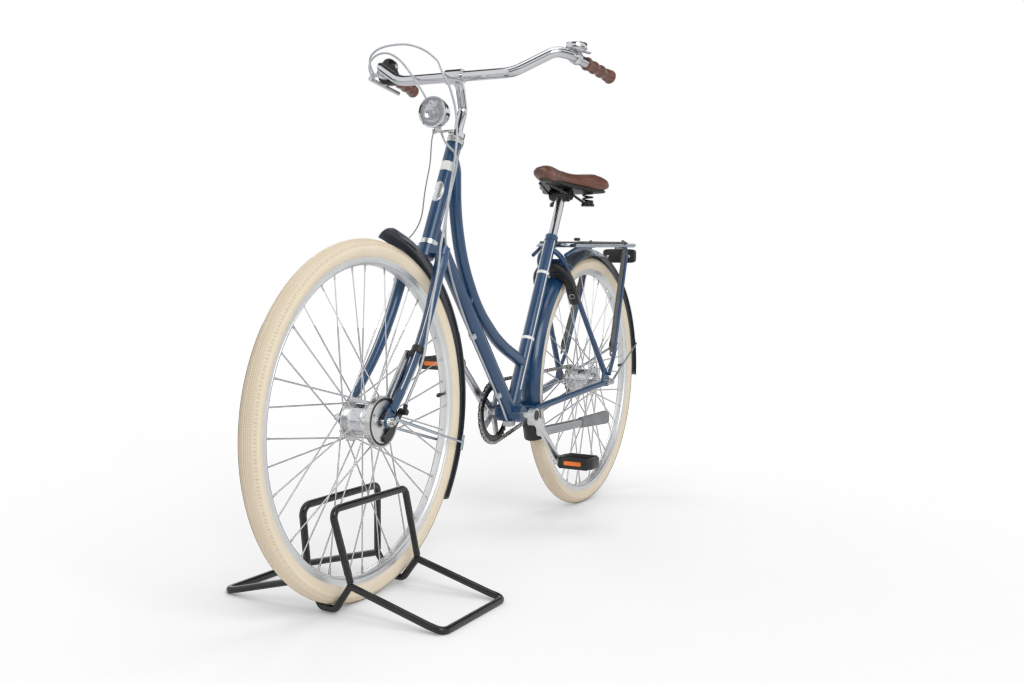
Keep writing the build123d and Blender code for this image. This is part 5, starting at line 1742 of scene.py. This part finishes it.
# %% [markdown]
# ## Ring lock
# The frame lock is a horseshoe of black plastic over a steel ring. A thick rounded section,
# wider at the crown than in the legs, is carried round a horseshoe line.

# %% Ring lock
stay_knee = np.array([0, 0.2770, 0.6934])
stay_foot = np.array([0, rear_axle[1] - 0.024, rear_axle[2] + 0.030])
stay_run = unit(stay_foot - stay_knee)
lock_out = np.array([0, stay_run[2], -stay_run[1]])
lock_up = -stay_run
lock_middle = stay_knee + stay_run * 0.080 + lock_out * 0.0073


def on_lock(x, y, out):
    """A place on the lock: across, up its own plane, and out of it."""
    return lock_middle + left_way * x + lock_up * y + lock_out * out


arch = np.radians(np.linspace(-12, 192, 40))
arch_way = np.column_stack([0.0455 * np.cos(arch), -0.006 + 0.0575 * np.sin(arch)])
horseshoe = np.concatenate(
    [[[0.0450, -0.058], [0.0452, -0.035]], arch_way, [[-0.0452, -0.035], [-0.0450, -0.058]]]
)
lock_line = np.array([on_lock(x, y, 0.0098) for x, y in horseshoe])
lock_line = smooth_path(lock_line, 2)
width_share = 0.74 + 0.56 * np.clip(np.sin(np.linspace(0, pi, len(lock_line))), 0, 1) ** 1.5
sections = np.stack([rounded(0.0305 * share, 0.0192, 4.5, 28) for share in width_share])
lock_body = add_bent(
    "lock_body", lock_line, sections, lock_out, "frame", black_plastic, 50
)
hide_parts("ring_lock")
print("lock at", np.round(lock_middle, 3))

# %% [markdown]
# The pod, the panel over the crown, the key's ring and the slider lie on the body. The pod and
# the panel are bars whose section shrinks at both ends, so that their corners are soft.

# %% Lock pod, key and slider
pod_line = np.array(
    [on_lock(0.0458, y, 0.0100) for y in (-0.0600, -0.0575, -0.030, -0.006, -0.002)]
)
pod_sizes = np.array([0.70, 0.95, 1.0, 0.95, 0.70])
pod_sections = np.stack(
    [rounded(0.0300 * share, 0.0195 * min(1.0, share + 0.04), 4.0, 28) for share in pod_sizes]
)
add_bent("lock_pod", pod_line, pod_sections, lock_out, "frame", black_gloss, 50)
key_profile = mm((0, 0), (0, 8), (1.6, 7.8), (1.8, 6.2), (0.5, 6), (0.5, 0))
add_turned(
    "lock_key_ring", key_profile, on_lock(0.047, -0.030, 0.0190), lock_out, "frame", zinc,
    32
)
cap_line = np.array([on_lock(x, 0.0500, 0.0185) for x in (-0.026, -0.024, 0.0, 0.024, 0.026)])
cap_sections = np.stack(
    [rounded(0.0120 * share, 0.0030 * share, 4.0, 20) for share in (0.7, 1, 1, 1, 0.7)]
)
add_bent("lock_panel", cap_line, cap_sections, lock_out, "frame", black_gloss, 50)
slider = mm((0, 0), (0, 5), (4, 4.2), (10, 4.2), (12, 6.2), (16, 6.2), (17.5, 4.5), (17.5, 0))
add_turned(
    "lock_slider", slider, on_lock(-0.0450, -0.045, 0.0100), -left_way, "frame",
    grey_plastic, 24
)
print("key at", np.round(on_lock(0.047, -0.030, 0.0190), 3))

# %% [markdown]
# ## Kickstand
# The kickstand leg is a forged aluminium bar with a plastic shoe. Both are rounded sections
# carried along the leg's line; the shoe's section swells at its end and has three grooves.

# %% Kickstand leg
KICK_LENGTH = 0.335
kick_start = np.array([0.043, 0.1522, 0.248])
kick_way = unit(np.array([0.14, 0.985, 0.02]))


def on_kick(share):
    """A point on the leg: share 0 at the knuckle and 1 at the shoe's end."""
    return kick_start + kick_way * (KICK_LENGTH * share)


leg_shares = np.linspace(-0.01, 0.62, 24)
leg_sections = np.stack(
    [rounded(0.0236 - 0.003 * max(share, 0), 0.0137, 3.0, 32) for share in leg_shares]
)
kick_leg = add_bent(
    "kick_leg", np.array([on_kick(share) for share in leg_shares]), leg_sections, (1, 0, 0),
    "kickstand", dull_aluminium, 50
)
print("kickstand leg from", np.round(kick_start, 3))

# %% [markdown]
# The shoe is a rubber sleeve that swells toward its end. The knuckle is a plate with two round
# ends that turns on a pin.

# %% Kickstand shoe and knuckle
shoe_shares = np.concatenate([[0.578, 0.582], np.linspace(0.59, 0.97, 60), [0.985, 0.995, 1.0]])
swell_share = np.clip((shoe_shares - 0.58) / 0.42, 0, 1)
groove_wave = sum(hump(shoe_shares, at, 0.006) for at in (0.66, 0.72, 0.90))
end_round = np.sqrt(np.clip(1 - ((shoe_shares - 0.965).clip(0) / 0.0351) ** 2, 0.03, 1))
shoe_sections = np.stack([
    rounded((0.0262 + 0.0085 * s) * e - 0.0016 * g, (0.0178 + 0.0040 * s) * e - 0.0012 * g, 3.6, 36)
    for s, e, g in zip(swell_share, end_round, groove_wave)
])
add_bent(
    "kick_shoe", np.array([on_kick(share) for share in shoe_shares]), shoe_sections, (1, 0, 0),
    "kickstand", grey_rubber, 40
)
pivot = np.array([0.043, 0.1462, 0.274])
upper_end = polar(0.0128, np.linspace(0, pi, 20))
lower_end = [0.006, -0.026] + polar(0.0118, np.linspace(pi, 2 * pi, 20))
hull = np.concatenate([upper_end, lower_end])
add_plate(
    "kick_knuckle", hull, pivot + [-0.007, 0, 0], (0, 1, 0), (0, 0, 1), 0.0136, "kickstand",
    aluminium, 0.0012
)
pin_cap = mm((0, 0), (0, 8), (1.5, 8), (2.8, 6), (2.8, 0))
add_turned(
    "kick_pin_cap", pin_cap, pivot + [0.0066, 0, 0], (1, 0, 0), "kickstand", zinc, 32
)
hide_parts("kickstand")
print("kickstand shoe ends at", np.round(on_kick(1.0), 3))

# %% [markdown]
# ## Hub brake, axle nuts and crank caps
# The front drum's plate has rivets, a ribbed arm and a gap round its edge, whose shade is painted
# by a black ring. All are small turned or bent parts laid on the imported solids.

# %% Front drum
# Painted shade: a black ring fills the gap between the plate and the drum.
gap_shade_ring = mm((42.6, 41.2), (43.4, 41.4), (43.4, 46.2), (42.6, 46.4))
add_turned(
    "brake_gap_painted_shade", gap_shade_ring, front_axle, left_way, "front_end", black_plastic, 96,
    True, 30
)
plate_ring = mm(
    (42.6, 18), (43.8, 18.5), (44.4, 24), (43.6, 33), (44, 39.8), (43.2, 41.2), (42.6, 41.2)
)
add_turned(
    "brake_plate_dish", plate_ring, front_axle, left_way, "front_end", aluminium, 96,
    True, 30
)
for index, turn in enumerate((35, 155, 275)):
    at = about(front_axle, 0.037, turn, 0.0436)
    rivet = mm((0, 0), (0, 2.6), (0.8, 2.4), (1.2, 1.2), (1.2, 0))
    add_turned(
        "brake_rivet_%d" % index, rivet, at, left_way, "front_end", dark_metal, 16
    )
arm_end_point = front_axle + [0, 0.086, 0.124]
arm_along = unit(arm_end_point - front_axle)
arm_path = np.array(
    [front_axle + arm_along * s + [0.0412, 0, 0] for s in (0.050, 0.056, 0.100, 0.134, 0.140)]
)
arm_sections = np.stack([rounded(w, 0.0016, 4, 16) for w in (0.006, 0.010, 0.0075, 0.006, 0.004)])
add_bent("brake_arm_rib", arm_path, arm_sections, (1, 0, 0), "front_end", aluminium, 40)
print("front drum plate at", np.round(front_axle, 3))

# %% [markdown]
# A hub shell is turned, with a raised lip beside each flange and a bright band between them.

# %% Hub shells
def raised_ring(half, edge, skin, height):
    """A ring's profile: from 0.4 mm under the skin up to its height, edge wide at the top."""
    return [
        (-half, skin - 0.0004), (-edge, skin + height), (edge, skin + height), (half, skin - 0.0004)
    ]


for (wheel, axle), shell in zip(WHEELS, mm(33.1, 29.1)):
    for side, word in SIDES:
        lip = raised_ring(0.0012, 0.0012, shell, 0.0007)
        add_turned(
            wheel + "_hub_lip_" + word, lip, axle + left_way * side * 0.0205, left_way,
            wheel + "_wheel", zinc, 72, True
        )
    middle_band = raised_ring(0.0120, 0.0110, shell, 0.0004)
    add_turned(
        wheel + "_hub_band", middle_band, axle, left_way, wheel + "_wheel", chrome, 72,
        True
    )
print("hub lips and bands added")

# %% [markdown]
# The axle nuts are plain hexagons with softened corners, pressed against the dropouts.

# %% Axle nuts
NUT_HEIGHT = 0.0072


def hexagon(radius):
    """Six corners, evenly round."""
    return polar(radius, np.arange(6) * pi / 3)


for side, word in SIDES:
    for wheel, axle, at, body in (
        ("front", front_axle, 0.0555, "front_end"), ("rear", rear_axle, 0.0730, "frame")
    ):
        inner_face = axle + left_way * side * (at + (0 if side > 0 else NUT_HEIGHT))
        name = "%s_axle_nut_%s" % (wheel, word)
        add_plate(
            name, hexagon(0.0098), inner_face, (0, 1, 0), (0, 0, 1), NUT_HEIGHT, body,
            zinc, 0.0008
        )
print("axle nuts added")

# %% [markdown]
# Dust caps close the crank ends, a collar with a bolt closes the seat tube, and one bolt clamps
# the bar in the stem.

# %% Crank caps, collar and stem bolt
for side, word in SIDES:
    dust_cap = mm((-1, 0), (-1, 12.8), (0.6, 12.6), (1.4, 10), (0.6, 8), (0.6, 0))
    add_turned(
        "crank_cap_" + word, dust_cap, bracket + [side * 0.0712, 0, 0], (side, 0, 0), "crank",
        black_plastic, 40
    )
seat_bolt = bracket + seat_up * 0.485 + seat_back * 0.0200
collar = mm((-7.5, 15.6), (-7.5, 17.2), (7.5, 17.2), (7.5, 15.6))
add_turned(
    "seat_collar", collar, bracket + seat_up * 0.487, seat_up, "frame", blue_paint,
    64, True
)
add_plate(
    "seat_bolt", hexagon(0.0052), seat_bolt + [-0.014, 0, 0], (0, 1, 0), (0, 0, 1), 0.028, "frame",
    zinc, 0.0008
)
stem_bolt = mm((0, 0), (0, 5.5), (2.5, 5.5), (3.5, 4.5), (3.5, 0))
add_turned(
    "stem_clamp_bolt", stem_bolt, bar_centre + [0.0085, -0.0060, -0.0175], (0.1, -0.6, -0.8),
    "front_end", zinc, 6
)
print("nuts, caps and clamps added")

# %% [markdown]
# ## Fork shoulders
# The crown of a city fork is sleeved: each blade runs up into a smooth shoulder that curves in
# to the steerer. A shoulder is an oval section carried along a short bend.

# %% Fork shoulders
for side, word in SIDES:
    shoulder = smooth_path(
        [
            on_steering(-0.0250, 0, side * 0.012), on_steering(-0.0240, 0, side * 0.024),
            on_steering(-0.0265, 0, side * 0.034), on_steering(-0.0345, 0, side * 0.0405),
            on_steering(-0.046, 0, side * 0.0425), on_steering(-0.066, 0, side * 0.0430)
        ]
    )
    share = np.linspace(0, 1, len(shoulder))
    girth = np.interp(share, [0, 0.35, 0.6, 0.9, 1], [0.0125, 0.0136, 0.0142, 0.0138, 0.0133])
    sections = np.stack([circle(radius, 28) for radius in girth])
    add_bent(
        "fork_shoulder_" + word, shoulder, sections, steer_back, "front_end",
        blue_paint, 60
    )
print("shoulders end at", np.round(shoulder[-1], 3))

# %% [markdown]
# ## Light, floor and camera
# The bicycle stands on a plain pale floor in an even white room. The floor only keeps the
# object's shadow.

# %% Floor
def stage_finish():
    """A pale matt floor; as a shadow catcher it shows only the shadow, over the white room."""
    material = bpy.data.materials.new("room floor")
    material.use_nodes = True
    sockets = material.node_tree.nodes["Principled BSDF"].inputs
    sockets["Base Color"].default_value = (0.95, 0.95, 0.955, 1)
    sockets["Roughness"].default_value = 0.9
    sockets["Specular IOR Level"].default_value = 0.0
    return material


floor_points = np.array([[-9, -9, 0], [9, -9, 0], [9, 9, 0], [-9, 9, 0]], float)
floor_mesh = bpy.data.meshes.new("floor")
floor_mesh.from_pydata(floor_points.tolist(), [], [[0, 1, 2, 3]])
floor = bpy.data.objects.new("floor", floor_mesh)
bpy.context.scene.collection.objects.link(floor)
floor.is_shadow_catcher = True
floor_mesh.materials.append(stage_finish())
print("floor ready")

# %% [markdown]
# The room is white to the camera, to mirrors and through glass, and half as bright as a light, so
# that the paint keeps its depth.

# %% White room
world = bpy.data.worlds.new("white room")
bpy.context.scene.world = world
world.use_nodes = True
sky = world.node_tree
background = sky.nodes["Background"]
rays = sky.nodes.new("ShaderNodeLightPath")
seen = rays.outputs["Is Camera Ray"]
for kind in ("Is Glossy Ray", "Is Transmission Ray"):
    larger = sky.nodes.new("ShaderNodeMath")
    larger.operation = "MAXIMUM"
    sky.links.new(seen, larger.inputs[0])
    sky.links.new(rays.outputs[kind], larger.inputs[1])
    seen = larger.outputs[0]
strength = sky.nodes.new("ShaderNodeMapRange")
strength.inputs["To Min"].default_value = 0.50
strength.inputs["To Max"].default_value = 1.0
sky.links.new(seen, strength.inputs["Value"])
sky.links.new(strength.outputs[0], background.inputs["Strength"])
background.inputs["Color"].default_value = (1, 1, 1, 1)
print("room ready")

# %% [markdown]
# In a real studio chrome mirrors the dark ceiling and the gaps between the screens. Six cards
# that only mirrors see stand in for them.

# %% Dark cards
def add_card(name, centre, facing, width, height):
    """A dark card that only mirrors see: it gives chrome the dark bands of a real studio."""
    away = unit(np.asarray(facing, float))
    side = unit(np.cross((0, 0, 1), away))
    tall = np.cross(away, side)
    square = ((-1, -1), (1, -1), (1, 1), (-1, 1))
    corners = [centre + side * x * width / 2 + tall * z * height / 2 for x, z in square]
    mesh = bpy.data.meshes.new(name)
    mesh.from_pydata(np.array(corners).tolist(), [], [[0, 1, 2, 3]])
    card = bpy.data.objects.new(name, mesh)
    bpy.context.scene.collection.objects.link(card)
    dark = bpy.data.materials.new(name)
    dark.use_nodes = True
    sockets = dark.node_tree.nodes["Principled BSDF"].inputs
    sockets["Base Color"].default_value = (0.07, 0.07, 0.075, 1)
    sockets["Roughness"].default_value = 0.9
    mesh.materials.append(dark)
    card.visible_camera = False
    card.visible_diffuse = False
    card.visible_shadow = False
    return card


add_card("dark card ahead", (1.6, -4.0, 1.1), (-0.35, 0.93, 0), 4.6, 1.3)
add_card("dark card left", (4.0, 0.6, 1.2), (-1, 0, 0), 3.0, 0.8)
add_card("dark card right", (-4.0, -0.6, 1.1), (1, 0, 0), 3.0, 0.9)
add_card("dark card behind", (0.6, 4.4, 1.1), (0, -1, 0), 3.0, 0.8)
add_card("dark ceiling ahead", (1.2, -2.6, 3.6), (-0.25, 0.7, -0.9), 5.0, 1.6)
add_card("dark ceiling above", (0, 1.9, 3.2), (0, -0.25, -0.97), 7.0, 5.2)
print("cards ready")

# %% [markdown]
# Three broad soft lamps give the paint and the chrome long gentle highlights.

# %% Lamps
def add_lamp(name, place, target, size, power):
    """A square soft lamp at a place, facing a target."""
    light = bpy.data.lights.new(name, "AREA")
    light.size = size
    light.energy = power
    lamp = bpy.data.objects.new(name, light)
    away = unit(np.array(place, float) - np.array(target, float))
    side = unit(np.cross((0, 0, 1), away)) if abs(away[2]) < 0.99 else np.array([1.0, 0, 0])
    up = np.cross(away, side)
    lamp.matrix_world = Matrix(
        [[side[i], up[i], away[i], place[i]] for i in range(3)] + [[0, 0, 0, 1]]
    )
    bpy.context.scene.collection.objects.link(lamp)
    return lamp


add_lamp("window lamp", (2.4, -2.2, 2.4), (0, 0, 0.5), 1.8, 44)
add_lamp("top lamp", (0.2, 0.2, 3.2), (0, 0, 0.4), 2.4, 26)
add_lamp("back lamp", (-2.6, 1.6, 1.8), (0, 0, 0.5), 1.8, 16)
print("lamps:", 3)

# %% [markdown]
# The camera stands low, ahead of the bicycle and to its left. Its three turns give the three
# axes of its matrix.

# %% Camera
yaw, pitch, roll = radians(-26.76), radians(-3.19), radians(1.235)
aim = np.array([sin(yaw) * cos(pitch), cos(yaw) * cos(pitch), sin(pitch)])
level = np.array([cos(yaw), -sin(yaw), 0])
over = np.cross(level, aim)
right = cos(roll) * level + sin(roll) * over
up = -sin(roll) * level + cos(roll) * over
lens = bpy.data.cameras.new("studio camera")
lens.sensor_width = 36
lens.lens = 36.97
lens.clip_end = 50
camera = bpy.data.objects.new("studio camera", lens)
place = (1.1614, -2.2381, 0.6209)
camera.matrix_world = Matrix(
    [[right[i], up[i], -aim[i], place[i]] for i in range(3)] + [[0, 0, 0, 1]]
)
bpy.context.scene.collection.objects.link(camera)
bpy.context.scene.camera = camera
bpy.context.scene.view_settings.view_transform = "Standard"
print("camera at", place)
